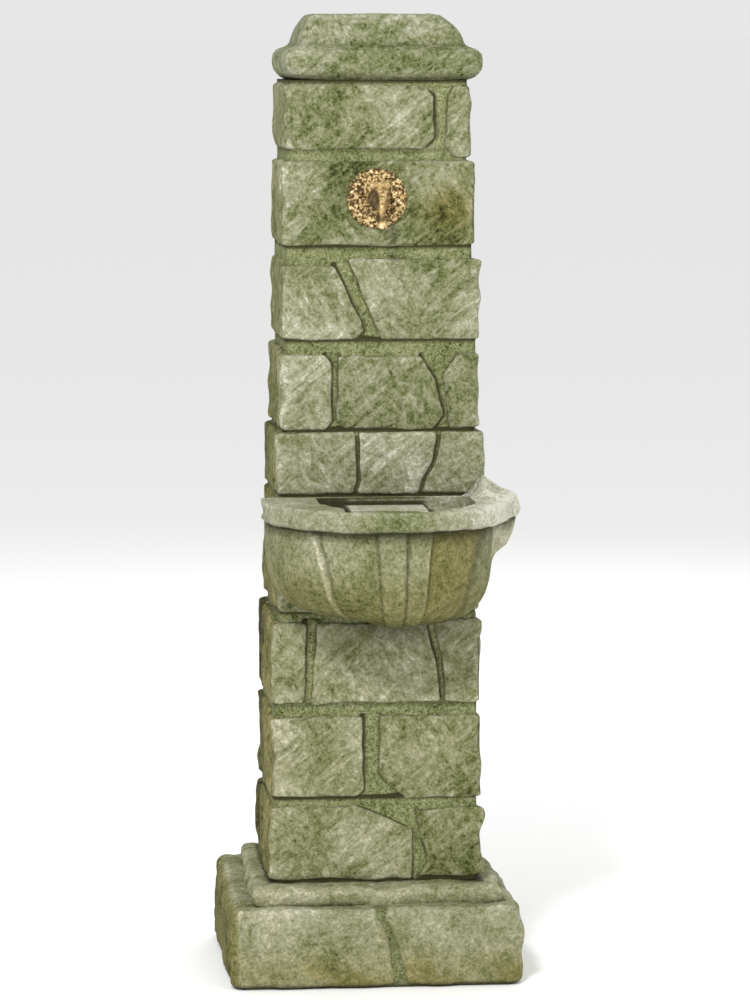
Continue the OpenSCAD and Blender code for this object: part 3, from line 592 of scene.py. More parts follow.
def studio():
    """A pale floor, a soft key from above on the left, weak lights from the right and from behind,
    and a pale sky."""
    bpy.context.scene.view_settings.view_transform = "Standard"
    area_light("key", (-1.5, -4.2, 3.9), 0.9, 190)
    area_light("fill", (3.4, -2.6, 1.5), 2.4, 18)
    area_light("rim", (1.0, 3.6, 3.0), 2.2, 45)
    sky()
    ground()


# ---------------- plinth, column and cap

def size_of(node):
    low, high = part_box(node)
    return high - low


def middle_of(node):
    return [(low + high) / 2 for low, high in zip(*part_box(node))]


def lean_at(low, high):
    """How far the column stands to the right between two heights."""
    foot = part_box("course_1")[0].z
    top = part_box(f"course_{COURSES}")[1].z
    return LEAN * (((low + high) / 2 - foot) / (top - foot))


def darkness(points, reach, half_d, shift):
    """Painted shade: nearly 1 for points that lie far behind the faces of a course, 0 on the faces."""
    x = points[:, 0] - shift
    inset = np.minimum(np.minimum(reach[1] - x, x - reach[0]), half_d - np.abs(points[:, 1]))
    at_side = np.abs(points[:, 1]) < half_d - 20 * MM
    return 0.9 * smoothstep(1.6 * MM, 4.2 * MM, inset - 4.0 * MM * at_side)


def course_sides(number):
    """The left and right ends of a course's stones from its middle, and half its depth."""
    low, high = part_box(f"course_{number}")
    left, right = COURSE_REACH[number - 1]
    half_w = (high.x - low.x) / 2
    return (-half_w - left * MM, half_w + right * MM), (high.y - low.y) / 2


def course_rows(number, ends, half_d):
    """For each side of a course: the side, its stones, its ends and its distance from the middle."""
    low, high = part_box(f"course_{number}")
    top = (high.z - low.z) / MM
    side_half = size_of("column_core").y / 2 - SIDE_GAP * MM
    beside = (-side_half, side_half)
    k = number - 1
    return [(FRONT, FRONT_STONES[k], ends, half_d),
            (RIGHT, plain_row(SIDE_JOINTS[k], top), beside, ends[1]),
            (BACK, plain_row(BACK_JOINTS[k], top), (-ends[1], -ends[0]), half_d),
            (LEFT, plain_row(SIDE_JOINTS[k], top), beside, -ends[0])]


def course(number, material):
    """One course of facing stones on the four sides of the core."""
    node = f"course_{number}"
    low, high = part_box(node)
    core = size_of("column_core")
    ends, half_d = course_sides(number)
    shift = lean_at(low.z, high.z)
    shape = Shape()
    for side, stones, span, distance in course_rows(number, ends, half_d):
        if (number, side) == (ACCESS_COURSE, BACK):
            stones = stones[::2]
        depth = distance - (core.y if side in (FRONT, BACK) else core.x) / 2
        stone_row(shape, side, stones, span, distance, low.z, high.z - low.z, depth, shift,
                  number * 4 + side, side in (FRONT, BACK), wave=3.2 if number == 1 else 1.8)
    if number == ROSETTE_COURSE:
        seat_rosette(shape)
    # The left face is made darker and browner, most on the low courses and towards the back.
    left_face_weight = np.interp(low.z, [0.45, 0.75, 1.2], [1.0, 0.45, 0.15])
    left_face = [left_face_weight * smoothstep(11 * MM, 5 * MM, points[:, 0] - ends[0] - shift)
                 * smoothstep(2 * MM - half_d, 9 * MM - half_d, points[:, 1]) for points in shape.points]
    shape.values["tone"] = [tone - 0.8 * brown_patch(points)
                            - face * (0.8 + 0.9 * smoothstep(0, 110 * MM, points[:, 1]))
                            for points, tone, face in zip(shape.points, shape.values["tone"], left_face)]
    # Painted shade behind the faces, less where the stone turns to the light, and the painted shadow under
    # the basin.
    shape.values["deep"] = [np.maximum(darkness(points, ends, half_d, shift) * shaded, basin_shade(points))
                            for points, shaded in zip(shape.points, shape.values.pop("shaded"))]
    warmth = 0.26 if low.z < 0.5 else 0.1
    shape.values["rust"] = [brown_patch(points) + 1.2 * face + warmth
                            for points, face in zip(shape.points, left_face)]
    shape.piece(f"{node}_stones", "pillar", "cast_stone", material, node)


def seat_rosette(shape):
    """Cuts the stone flat behind the rosette."""
    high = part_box("rosette")[1]
    x, _, z = middle_of("rosette")
    for points in shape.points:
        away = np.hypot(points[:, 0] - x, points[:, 2] - z)
        share = smoothstep(62 * MM, 47 * MM, away) * (points[:, 1] < high.y)
        points[:, 1] += (high.y + 0.3 * MM - points[:, 1]) * share


def brown_patch(points):
    """The brown bloom to the right of the rosette."""
    low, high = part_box("rosette")
    x, z = high.x + 60 * MM, low.z + 26 * MM
    spread = ((points[:, 0] - x) / (38 * MM)) ** 2 + ((points[:, 2] - z) / (34 * MM)) ** 2
    return 1.05 * np.exp(-spread) * (points[:, 1] < 0)


def basin_shade(points):
    """Painted shadow on the stone under the basin's foot."""
    low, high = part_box("basin")
    x, z = points[:, 0] - 35 * MM, points[:, 2] - low.z
    spread = (x / (78 * MM)) ** 2 + (np.minimum(z, 0) / (20 * MM)) ** 2
    return 0.6 * np.exp(-spread) * (points[:, 1] < high.y + 8 * MM) * (z < 40 * MM)


def between(stones, spread=7):
    """The gaps between the stones of a row, each reaching a little behind both of its neighbours."""
    gaps = []
    for near, far in zip(stones, stones[1:]):
        left = [(x - spread, z) for x, z in near[1]]
        right = [(x + spread, z) for x, z in far[0]]
        gaps.append((left, right, 0, 0, 0.0))
    return gaps


def mortar(material):
    """A bed of mortar under and over every course, and a strip in every upright joint."""
    core = size_of("column_core")
    shape = Shape()
    lap_low, lap_high = 9.5 * MM, 6 * MM
    courses = [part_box(f"course_{n + 1}") for n in range(COURSES)]
    beds = [(courses[0][0].z, courses[0][0].z + 18 * MM)]
    for under, over in zip(courses, courses[1:]):
        beds.append((under[1].z - lap_low, over[0].z + lap_high))
    beds.append((courses[-1][1].z - lap_low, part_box("column_core")[1].z))
    for number, (z_low, z_high) in enumerate(beds):
        ends, half_d = course_sides(min(number + 1, COURSES))
        half_w = (ends[1] - ends[0]) / 2 - RECESS_SIDE
        middle = (ends[0] + ends[1]) / 2 + lean_at(z_low, z_high)
        half_d -= RECESS_FRONT
        rings = [(core.x / 2, core.y / 2, z_low), (half_w, half_d, z_low)]
        count = max(3, round((z_high - z_low) / (2.5 * MM)))
        rings += [(half_w, half_d, z) for z in np.linspace(z_low, z_high, count)[1:-1]]
        rings += [(half_w, half_d, z_high), (core.x / 2, core.y / 2, z_high)]
        add_ring_band(shape, rings, 11 * MM, middle, 1.3, number + 40)
        z = shape.points[-1][:, 2]
        foot_of_over = courses[number][0].z if number < COURSES else z_high
        shade = smoothstep(foot_of_over - 6.5 * MM, foot_of_over - 2 * MM, z)
        shape.values.setdefault("deep", []).append(BED_SHADE[number] * shade)
    for number, (low, high) in enumerate(courses, 1):
        ends, half_d = course_sides(number)
        height = high.z - low.z
        shift = lean_at(low.z, high.z)
        for side, stones, _, distance in course_rows(number, ends, half_d):
            if (number, side) != (ACCESS_COURSE, BACK):
                recess = RECESS_FRONT if side in (FRONT, BACK) else RECESS_SIDE
                stone_row(shape, side, between(stones), (0, 0), distance - recess, low.z, height,
                          STRIP_DEPTH, shift, number * 4 + side + 50, False, crease=7 * MM,
                          relief=0.9, wave=0.3)
        gap = core.y / 2 - SIDE_GAP / 2 * MM
        for side, distance in ((LEFT, -ends[0]), (RIGHT, ends[1])):
            for y in (-gap, gap):
                corner_strip(shape, side, y, distance - RECESS_SIDE, low.z, height, shift, number)
    for name in ("edge", "tone", "shaded"):
        shape.values.pop(name)
    shape.piece("mortar", "pillar", "mortar", material, "mortar_joints")


def corner_strip(shape, side, y, distance, foot_z, height, shift, seed):
    """The upright mortar between the end of a front or back stone and the stones beside it."""
    half = (SIDE_GAP + 12) / 2
    points, faces, _, _ = stone(height, STRIP_DEPTH, [(-half, 0)], [(half, 0)], (0, 0), seed=seed + 90,
                                relief=0.9, wave=0.3)
    points[:, 1] -= distance
    points = turned(points, side)
    points[:, 0] += shift
    points[:, 1] += y
    points[:, 2] += foot_z
    # A little painted shade over the whole corner joint.
    shape.add(points, faces, deep=0.3)


def rounded_ring(half_w, half_d, radius, count):
    """Points round a rectangle with round corners, anticlockwise seen from above."""
    share = np.arange(count) / count
    around = np.array([0, half_w, half_w + 2 * half_d, 3 * half_w + 2 * half_d, 3 * half_w + 4 * half_d,
                       4 * half_w + 4 * half_d])
    along = share * around[-1]
    x = np.interp(along, around, [0, half_w, half_w, -half_w, -half_w, 0])
    y = np.interp(along, around, [-half_d, -half_d, half_d, half_d, -half_d, -half_d])
    radius = min(radius, half_w, half_d)
    inner_x = np.clip(x, radius - half_w, half_w - radius)
    inner_y = np.clip(y, radius - half_d, half_d - radius)
    dx, dy = x - inner_x, y - inner_y
    length = np.maximum(np.hypot(dx, dy), 1e-9)
    scale = np.where(length > 1e-8, radius / length, 0)
    return np.stack([inner_x + dx * scale, inner_y + dy * scale], axis=1)


def box_rings(sizes, count):
    """The points of round-cornered rectangles, each given as (half width, half depth, radius, height)."""
    return np.concatenate([np.column_stack([rounded_ring(half_w, half_d, radius, count), np.full(count, z)])
                           for half_w, half_d, radius, z in sizes])


def add_ring_band(shape, rings, radius, shift, relief, seed):
    """A closed collar from rings of (half width, half depth, height), its first and last ring inside."""
    count = round(4 * (rings[1][0] + rings[1][1]) / (4.2 * MM))
    points = box_rings([(half_w, half_d, radius, z) for half_w, half_d, z in rings], count)
    inner = np.concatenate([np.ones(count), np.zeros(count * (len(rings) - 2)), np.ones(count)]) > 0
    out = np.stack([points[:, 0] / rings[1][0], points[:, 1] / rings[1][1]], axis=1)
    out = np.where(np.abs(out) > 0.93, np.sign(out), 0)
    lift = relief * MM * (rough(points, seed) + 0.5 * bumps(points, 40 * MM, seed + 9))
    points[:, 0] += np.where(inner, 0, out[:, 0] * lift) + shift
    points[:, 1] += np.where(inner, 0, out[:, 1] * lift)
    faces = rings_to_faces(len(rings), count)
    last = (len(rings) - 1) * count
    faces += [(k, last + k, last + (k + 1) % count, (k + 1) % count) for k in range(count)]
    shape.add(points, faces)


def back_left_rise(points):
    """How much higher the plinth and the step stand towards their back left corner."""
    x, y, _ = points.T
    return 10 * MM * smoothstep(-90 * MM, 130 * MM, y) * smoothstep(-125 * MM, -165 * MM, x)


def plinth(material):
    """Two big rounded blocks in front, two at the back and two on each side."""
    low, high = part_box("plinth_stones")
    base = size_of("base_slab")
    half_w, half_d = high.x, high.y
    height = high.z - low.z
    reach = half_w + PLINTH_REACH
    side_half = base.y / 2 - SIDE_GAP * MM
    top = height / MM
    front = [(CORNER, [(22, 0), (13, 67), (-5, 102)], 0, 0, 0.85),
             ([(34, 0), (21, 60), (3, 98)], CORNER, 0, 0, 0.4)]
    sides = plain_row([(-30, -22, 10)], top)
    shape = Shape()
    for side, stones, ends, distance, core in (
            (FRONT, front, (-reach, half_w), half_d, base.y),
            (RIGHT, sides, (-side_half, side_half), half_w, base.x),
            (BACK, plain_row([(-12, 6, 10)], top), (-half_w, reach), half_d, base.y),
            (LEFT, sides, (-side_half, side_half), reach, base.x)):
        corner = 20 * MM if side in (FRONT, BACK) else 9 * MM
        for number, (left, right, _, _, light) in enumerate(stones):
            blunt = {"low": 9 * MM, "high": 24 * MM, "face": 18 * MM,
                     "left": corner if left == CORNER else 9 * MM,
                     "right": corner if right == CORNER else 9 * MM}
            points, faces, edge, _ = stone(height, distance - core / 2, left, right, ends, rounds=blunt,
                                           seed=200 + side * 5 + number, relief=4.4, step=3.6 * MM,
                                           wave=2.0)
            points[:, 1] -= distance
            points = turned(points, side)
            points[:, 2] = np.maximum(points[:, 2], 0)
            points[:, 2] += back_left_rise(points) * smoothstep(55 * MM, height, points[:, 2])
            # Painted shade along the foot and a painted highlight along the edges above 30 mm; darker and
            # browner towards the left end.
            foot_dark = 0.92 * smoothstep(10 * MM, 2 * MM, points[:, 2])
            west = smoothstep(12 * MM - reach, 2 * MM - reach, points[:, 0])
            brown = 0.5 * smoothstep(0.0, 0.5, bumps(points, 50 * MM, 31)) + 0.35
            tone = (0.1 if light is None else light) - 1.2 * west
            shape.add(points, faces, edge=edge * (points[:, 2] > 30 * MM), tone=tone, deep=foot_dark,
                      rust=0.2 + 0.9 * west + brown * smoothstep(70 * MM, 20 * MM, points[:, 2]))
    shape.piece("plinth_blocks", "pillar", "cast_stone", material, "plinth_stones")


def plinth_mortar(material):
    """The mortar between the plinth's blocks, carried up to the step."""
    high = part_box("plinth_stones")[1]
    base = size_of("base_slab")
    recess = 6 * MM
    half_w, half_d = high.x + PLINTH_REACH / 2 - recess, high.y - recess
    rings = [(base.x / 2, base.y / 2, 2 * MM), (half_w, half_d, 2 * MM)]
    rings += [(half_w, half_d, z) for z in np.linspace(6 * MM, high.z - 16 * MM, 18)]
    rings += [(half_w - inset * MM, half_d - inset * MM, high.z - drop * MM)
              for inset, drop in ((1, 12), (4, 8), (9, 5), (15, 3), (22, 2), (30, 1))]
    rings.append((base.x / 2, base.y / 2, high.z - 1 * MM))
    shape = Shape()
    add_ring_band(shape, rings, 22 * MM, -PLINTH_REACH / 2, 1.5, 77)
    for points in shape.points:
        points[:, 2] += back_left_rise(points) * smoothstep(55 * MM, high.z, points[:, 2])
    # Painted shade: slight all over, strong along the foot.
    shape.values["deep"] = [0.1 + 0.7 * smoothstep(12 * MM, 0, points[:, 2]) for points in shape.points]
    shape.piece("plinth_mortar", "pillar", "mortar", material)


def laid_flat(points, low, high):
    """Lays a stone down with its face up and its foot to the front, inside the given box."""
    x, y, z = points.T
    return np.stack([x, z + low.y, high.z - y], axis=1)


def step(material):
    """The worn slab under the column, laid flat: its face is its top."""
    low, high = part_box("plinth_step")
    _, long, thick = high - low
    blunt = {**dict.fromkeys(("left", "right", "low", "high"), 17 * MM), "face": 15 * MM}
    points, faces, edge, _ = stone(long, thick + 6 * MM, CORNER, CORNER, (low.x - 3 * MM, high.x),
                                   rounds=blunt, seed=300, relief=4.6, step=3.8 * MM, wave=4.0)
    points = laid_flat(points, low, high)
    points[:, 2] += back_left_rise(points) * 0.8
    at_front = points[:, 1] < low.y + 30 * MM
    points[:, 2] -= 5 * MM * bell(points[:, 0], 4 * MM, 28 * MM) * at_front
    column, depth = course_sides(1)
    outside = np.maximum(np.maximum(points[:, 0] - column[1], column[0] - points[:, 0]),
                         np.abs(points[:, 1]) - depth)
    shape = Shape()
    # Painted shade on the step round the column's foot, and a painted highlight along its top edges.
    shape.add(points, faces, edge=edge * (points[:, 2] > high.z - 12 * MM), tone=0.45,
              deep=0.85 * smoothstep(6 * MM, 1 * MM, outside), rust=0.25)
    shape.piece("step_slab", "pillar", "cast_stone", material, "plinth_step")


# The cap's outline from its underside up, as (how far it is set in, height), in millimetres
CAP_OUTLINE = [(40, 0), (20, 0), (15, 1), (10, 4), (5.5, 8.5), (2, 14.5), (0.3, 21), (0, 30), (1.2, 37),
               (4.5, 42), (10, 45.5), (16, 48), (20.5, 50.5), (23, 54), (24.5, 60), (27, 67), (30.5, 75),
               (35, 83), (40, 90), (43, 93.8), (49, 95)]


def cap_line(spacing):
    """The cap's outline with points at the given spacing, from the middle below to the middle above."""
    line = [(60, 0)]
    for (inset, z), (inset_next, z_next) in zip(CAP_OUTLINE, CAP_OUTLINE[1:]):
        pieces = max(1, round(math.hypot(inset_next - inset, z_next - z) * MM / spacing))
        line += [(inset + (inset_next - inset) * k / pieces, z + (z_next - z) * k / pieces)
                 for k in range(pieces)]
    return line + [(inset, 95) for inset in np.arange(49, 116, 4)]


def cap(material):
    """The round moulding with its tapered crown, and the spigot that drops into the core."""
    low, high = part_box("cap_stone")
    column_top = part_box("column_core")[1].z
    half_w, half_d = (high.x - low.x) / 2, (high.y - low.y) / 2
    spacing = 3.2 * MM
    line = cap_line(spacing)
    count = round(4 * (half_w + half_d) / spacing)
    points = box_rings([(half_w - inset * MM, half_d - inset * MM, (17 + 0.15 * inset) * MM,
                         column_top + z * MM) for inset, z in line], count)
    insets, heights = (np.repeat(part, count) for part in zip(*line))
    lift = 2.2 * MM * rough(points, 400) + 1.6 * MM * bumps(points, 60 * MM, 405)
    lift *= np.where(insets > 49, 0.35, 1) * (heights > 0.3)
    points += normals_of(points, len(line), count) * lift[:, None]
    worn = np.clip((heights - 55) / 40, 0, 1) ** 2
    points[:, 0] -= 14 * MM * worn * np.clip(points[:, 0] / (half_w - 49 * MM), 0, 1)
    points[:, 0] += middle_of("cap_stone")[0] + CAP_SHIFT
    # Painted highlights on the crests of the roll and the crown, painted shade in the fold and along the
    # underside; the lower part of the roll is darker.
    fold = bell(heights, 51, 3)
    crest = bell(heights, 92, 4) * 0.6 * (insets < 52) + 0.4 * bell(heights, 38, 5)
    shape = Shape()
    shape.add(points, closed_faces(len(line), count), edge=crest,
              tone=0.25 - 0.5 * (heights < 40) - 0.4 * fold,
              deep=0.18 * fold + 0.5 * smoothstep(12, 2, heights))
    spigot = [(half_x * MM, half_y * MM, 6 * MM, low.z + z * MM)
              for half_x, half_y, z in ((20, 20, 0), (61, 44, 0), (61, 44, 5), (61, 44, 12), (61, 44, 21))]
    shape.add(box_rings(spigot, 96), closed_faces(len(spigot), 96), edge=0.0, tone=0.0, deep=0.0)
    shape.piece("cap_block", "cap", "cast_stone", material, "cap_stone")


# ---------------- basin

RIM_TOP = 0.707
RIM_LOW = RIM_TOP - 29 * MM
SHELL_FOOT = 528 * MM
BOWL_DEPTH = 92          # in millimetres
SIDE_POINTS, FRONT_POINTS, BACK_POINTS = 18, 270, 70
RING_POINTS = 2 * SIDE_POINTS + FRONT_POINTS + BACK_POINTS
SHELL, RIM, LEDGE, BOWL, DRAIN = range(5)  # the parts of the basin's skin


def d_outline(x, y, radius, wall):
    """A half circle round (x, y), carried straight back to the wall: back to front on the left, round
    the front, back on the right and along the wall to the left."""
    points = [(x - radius, yy) for yy in np.linspace(wall, y, SIDE_POINTS, endpoint=False)]
    angle = np.linspace(-90, 90, FRONT_POINTS, endpoint=False) * math.pi / 180
    points += [(x + radius * math.sin(a), y - radius * math.cos(a)) for a in angle]
    points += [(x + radius, yy) for yy in np.linspace(y, wall, SIDE_POINTS, endpoint=False)]
    points += [(xx, wall) for xx in np.linspace(x + radius, x - radius, BACK_POINTS, endpoint=False)]
    return np.array(points)


# How the rim rises into the ear at its right end, by the distance from the middle, in millimetres
EAR_X = [134, 143, 150, 154, 160, 167, 175, 190, 199, 208]
EAR_RISE = [0, 8, 30, 31, 20, 12, 8, 9, 5, -7]
# How far the shell stands out under the ear, by height
CORBEL_Z = [540, 560, 606, 616, 626, 638, 654, 668, 680]
CORBEL_REACH = [0, 2, 4, 6, 10, 26, 34, 38, 40]
SHELL_FULLNESS = 3.8     # 2 would make the shell's section a quarter ellipse, and more fills it out


def gap_between(value, low, high, soft):
    """1 where value lies between low and high, with soft sides."""
    return smoothstep(low - soft, low + soft, value) * smoothstep(high + soft, high - soft, value)


def shell_ribs(turn):
    """The shell's relief by the angle from its front: raised, hollow, raised in the middle, hollow and
    raised. Returns how far it stands out, the bead's painted highlight, painted light and shade across the
    ribs, painted shade in the groove and creases, and how brown it is."""
    raised = (gap_between(turn, -250, -42.5, 1.2) + gap_between(turn, -6.5, 23, 1.0)
              + gap_between(turn, 64, 250, 4))
    bead = bell(turn, -43, 1.4)
    groove = bell(turn, 9, 1.0)
    creases = (0.45 * bell(turn, -39.8, 1.3) + 0.5 * bell(turn, -7.6, 0.9) + 0.4 * bell(turn, 24.3, 1.0)
               + 0.45 * bell(turn, 62, 3.5))
    light = (0.05 + 0.5 * gap_between(turn, -6.5, 23, 1) - 0.35 * gap_between(turn, 23, 62, 3)
             + 0.6 * bell(turn, 21.8, 1.2))
    brown = 0.9 * gap_between(turn, 23, 60, 3)
    relief = (-3.4 + 5.4 * raised + 1.6 * bead - 2.6 * groove) * MM
    return relief, bead, light, 0.55 * groove + creases, brown


def rim_tone(x):
    """How light the rim is along its length: dull in the middle, paler to the left, palest at the ear."""
    return np.interp(x / MM, [-150, -60, 0, 60, 120, 180], [0.7, -0.1, -0.7, 0.3, 2.2, 3.6])


class Rings:
    """The rings of the basin's skin, with the part and the looks of every point."""

    def __init__(self):
        self.lines = []
        self.columns = []

    def add(self, part, line, z, edge=0.0, tone=0.0, deep=0.0, rust=0.0):
        self.lines.append(line)
        self.columns.append([np.broadcast_to(value, RING_POINTS)
                             for value in (z, edge, tone, deep, rust, part)])


def shell_rings(rings, shell_line, middle, wall):
    """The ribbed shell, from its foot at the wall up to the rim."""
    foot = np.array([25 * MM, wall])
    turn = np.degrees(np.arctan2(shell_line[:, 0] - middle[0], middle[1] - shell_line[:, 1]))
    at_back = shell_line[:, 1] > wall - 1e-6
    out = shell_line - middle
    out[:, 1] = np.minimum(out[:, 1], 0)
    out /= np.maximum(np.linalg.norm(out, axis=1, keepdims=True), 1e-9)
    out[at_back] = 0
    shallow = 0.065 * smoothstep(0, -35, turn)
    for a in np.radians(np.linspace(89.5, 0, 76)):
        share = math.cos(a) ** (2 / SHELL_FULLNESS)
        drop = math.sin(a) ** (2 / SHELL_FULLNESS)
        narrow = 1 - 0.19 * (1 - (1 - min(drop / 0.75, 1)) ** 2)
        ribs, bead, tone, dark, brown = shell_ribs(6 + (turn - 6) / narrow)
        line = foot + (shell_line - foot) * share + ribs[:, None] * out * smoothstep(0.0, 0.35, share)
        line[at_back, 1] = wall
        # Painted light on the upper right end and a painted highlight on the bead; painted shade at the
        # foot, just under the rim, along the groove and creases and in a small spot on the right; darker and
        # browner towards the foot.
        pale = 2.2 * smoothstep(76, 86, turn) * smoothstep(0.5, 0.2, drop)
        rings.add(SHELL, line,
                  RIM_LOW - (RIM_LOW - SHELL_FOOT) * drop * (1 - shallow * smoothstep(0, 0.5, share)),
                  edge=bead, tone=tone + pale + 1.3 * bead - 0.4 * drop ** 3,
                  deep=np.clip(0.7 * smoothstep(0.86, 1.0, drop) + dark * smoothstep(0.1, 0.3, share)
                               + 0.6 * smoothstep(0.04, 0.0, drop) + 0.4 * smoothstep(0.14, 0.0, drop)
                               + 0.9 * np.exp(-((turn - 66) / 1.4) ** 2 - ((drop - 0.42) / 0.018) ** 2),
                               0, 0.92),
                  rust=brown + 0.2 + 0.6 * smoothstep(0.2, 0.9, drop))


# The rim's section from the shell outwards and up, as (how far along from the shell's outline to the
# rim's, height in millimetres, how much painted highlight, how much painted shade)
RIM_SECTION = [(0.15, 0.4, 0, 0.95), (0.45, -0.4, 0, 0.95), (0.75, 0.4, 0, 0.7), (0.93, 2.0, 0.2, 0.2),
               (0.99, 5, 0.2, 0), (1.0, 9, 0, 0), (1.0, 13, 0, 0), (0.99, 17, 0, 0), (0.975, 21, 0.2, 0),
               (0.945, 24.5, 0.6, 0), (0.88, 27.5, 1.2, 0), (0.77, 28.8, 0.9, 0)]


def rim_rings(rings, shell_line, rim_line, bowl_line):
    """The rolled rim, and the level ledge from there to the bowl."""
    for share, z, edge, deep in RIM_SECTION:
        line = shell_line + (rim_line - shell_line) * share
        rings.add(RIM, line, RIM_LOW + z * MM, edge, rim_tone(line[:, 0]), deep)
    inner = rim_line * 0.25 + shell_line * 0.75
    # The ledge gets a touch of painted highlight all over its top.
    for share in np.linspace(0.1, 1.0, 24):
        line = inner + (bowl_line - inner) * share
        rings.add(LEDGE, line, RIM_TOP + 0.3 * MM, 0.3, rim_tone(line[:, 0]) + 0.15)


def bowl_rings(rings, bowl_line, centre):
    """The bowl's inside, down to the rebate for the waste grid and the drain hole under it."""
    grid_low, grid_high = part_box("waste_grid")
    spoke = bowl_line - centre
    length = np.linalg.norm(spoke, axis=1, keepdims=True)
    spoke = spoke / length
    rebate = (grid_high.x - grid_low.x) / 2 + 0.6 * MM
    for drop in (1.2, 2.8, 4.6, 6.6, 8.6, 11, 14, 18, 23, 29, 36, 43, 50, 57, 64, 71, 77, 82, 86, 89, 91,
                 BOWL_DEPTH):
        share = (1 - (drop / BOWL_DEPTH) ** 3) ** (1 / 3)
        line = centre + spoke * np.maximum(rebate + (length - rebate) * share, rebate)
        # Painted shade over the bowl's inside, strongest on the left and lighter from 2 to 5.5 mm down; the
        # upper right-hand part is tinted paler as painted light.
        left_part = smoothstep(-38 * MM, -50 * MM, line[:, 0])
        right_part = smoothstep(62 * MM, 76 * MM, line[:, 0]) * (drop < 20)
        level = 0.9 if drop < 2 or drop > 5.5 else 0.1
        rings.add(BOWL, line, RIM_TOP - drop * MM, tone=0.1 + 0.9 * right_part,
                  deep=np.clip(level + 0.8 * left_part - 0.8 * right_part, 0, 0.92),
                  rust=0.15 * right_part)
    seat = grid_low.z - 0.4 * MM
    # The drain hole is painted dark as shade.
    for reach, z in ((rebate, RIM_TOP - BOWL_DEPTH * MM - 1 * MM), (rebate, seat), (25 * MM, seat),
                     (25 * MM, grid_low.z - 22 * MM)):
        rings.add(DRAIN, centre + spoke * reach, z, tone=-1.0, deep=0.8)


def raise_ear(points, part, on_rim, wall):
    """Sweeps the rim's right end up into an ear on a corbel, and curls its left end. Returns how high
    the ear is above each point's place."""
    x, y, z = points.T.copy()
    near_wall = smoothstep(wall - 62 * MM, wall - 8 * MM, y)
    round_tip = 1 - 0.35 * ((z - RIM_TOP + 14 * MM) / (16 * MM)) ** 2
    points[:, 0] += on_rim * smoothstep(118 * MM, 186 * MM, x) * near_wall * round_tip * 22 * MM
    sweep = np.interp(points[:, 0] / MM, EAR_X, EAR_RISE) * MM
    points[:, 2] += sweep * near_wall * on_rim * smoothstep(RIM_LOW + 6 * MM, RIM_TOP - 2 * MM, z)
    corbel = np.interp(z / MM, CORBEL_Z, CORBEL_REACH) * MM
    points[:, 0] += (part == SHELL) * smoothstep(100 * MM, 148 * MM, x) * near_wall * corbel
    curl = bell(z - RIM_LOW, 12 * MM, 7 * MM) * (part == RIM) * (x < -100 * MM)
    points[:, 0] += 6 * MM * curl * smoothstep(wall - 60 * MM, wall - 20 * MM, y)
    return sweep


def let_in_cup_rest(points, deep, on_rim):
    """Lowers the rim under the cup rest and paints shade into the gap round it."""
    low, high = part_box("cup_rest")
    x, y, z = points.T
    beside = np.maximum(np.maximum(low.x - x, x - high.x), np.maximum(low.y - y, y - high.y))
    under = (beside < 2.5 * MM) & on_rim & (y > low.y)
    z[under] = np.minimum(z[under], high.z - 16 * MM)
    deep[on_rim & (y > low.y + 2 * MM) & (beside < 4 * MM)] = 0.95


def basin(material):
    """The shell basin: ribs that run down to one point at the wall, a rolled rim, an ear swept up at the
    right end of the rim, and the bowl with its rebate for the waste grid."""
    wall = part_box("basin")[1].y
    shell_middle = np.array([-1.5 * MM, wall - 42 * MM])
    bowl_middle = np.array(middle_of("waste_grid")[:2])
    shell_line = d_outline(*shell_middle, 160.5 * MM, wall)
    rim_line = d_outline(8 * MM, wall - 38 * MM, 178 * MM, wall)
    bowl_line = d_outline(*bowl_middle, 112 * MM, wall - 5 * MM)
    rings = Rings()
    shell_rings(rings, shell_line, shell_middle, wall)
    rim_rings(rings, shell_line, rim_line, bowl_line)
    bowl_rings(rings, bowl_line, bowl_middle)
    height, edge, tone, deep, rust, part = np.concatenate([np.array(c) for c in rings.columns], axis=1)
    points = np.column_stack([np.concatenate(rings.lines), height])
    on_rim = np.isin(part, (RIM, LEDGE))
    sweep = raise_ear(points, part, on_rim, wall)
    lift = MM * (1.3 * rough(points, 500) + 1.0 * bumps(points, 60 * MM, 505)
                 + 1.2 * bumps(points, 17 * MM, 507) * on_rim)
    lift *= smoothstep(wall - 1 * MM, wall - 12 * MM, points[:, 1]) * (part != DRAIN)
    points -= normals_of(points, len(rings.lines), RING_POINTS) * lift[:, None]
    let_in_cup_rest(points, deep, on_rim)
    into_wall = (smoothstep(wall - 12 * MM, wall - 1 * MM, points[:, 1]) * smoothstep(2 * MM, 10 * MM, sweep)
                 * smoothstep(152 * MM, 143 * MM, points[:, 0]))
    points[:, 1] = np.minimum(points[:, 1], wall) + 7 * MM * into_wall * on_rim
    faces = [face[::-1] for face in closed_faces(len(rings.lines), RING_POINTS)]
    shape = Shape()
    shape.add(points, faces, edge=edge, tone=tone, deep=deep, rust=rust)
    shape.piece("basin_shell", "pillar", "cast_stone", material, "basin", crisp=55)


CUP_REST_THICK = 15 * MM
CUP_REST_LEGS = (-39 * MM, 38 * MM)  # x of its legs
CUP_REST_FOOT = 0.640                # height of the legs' feet


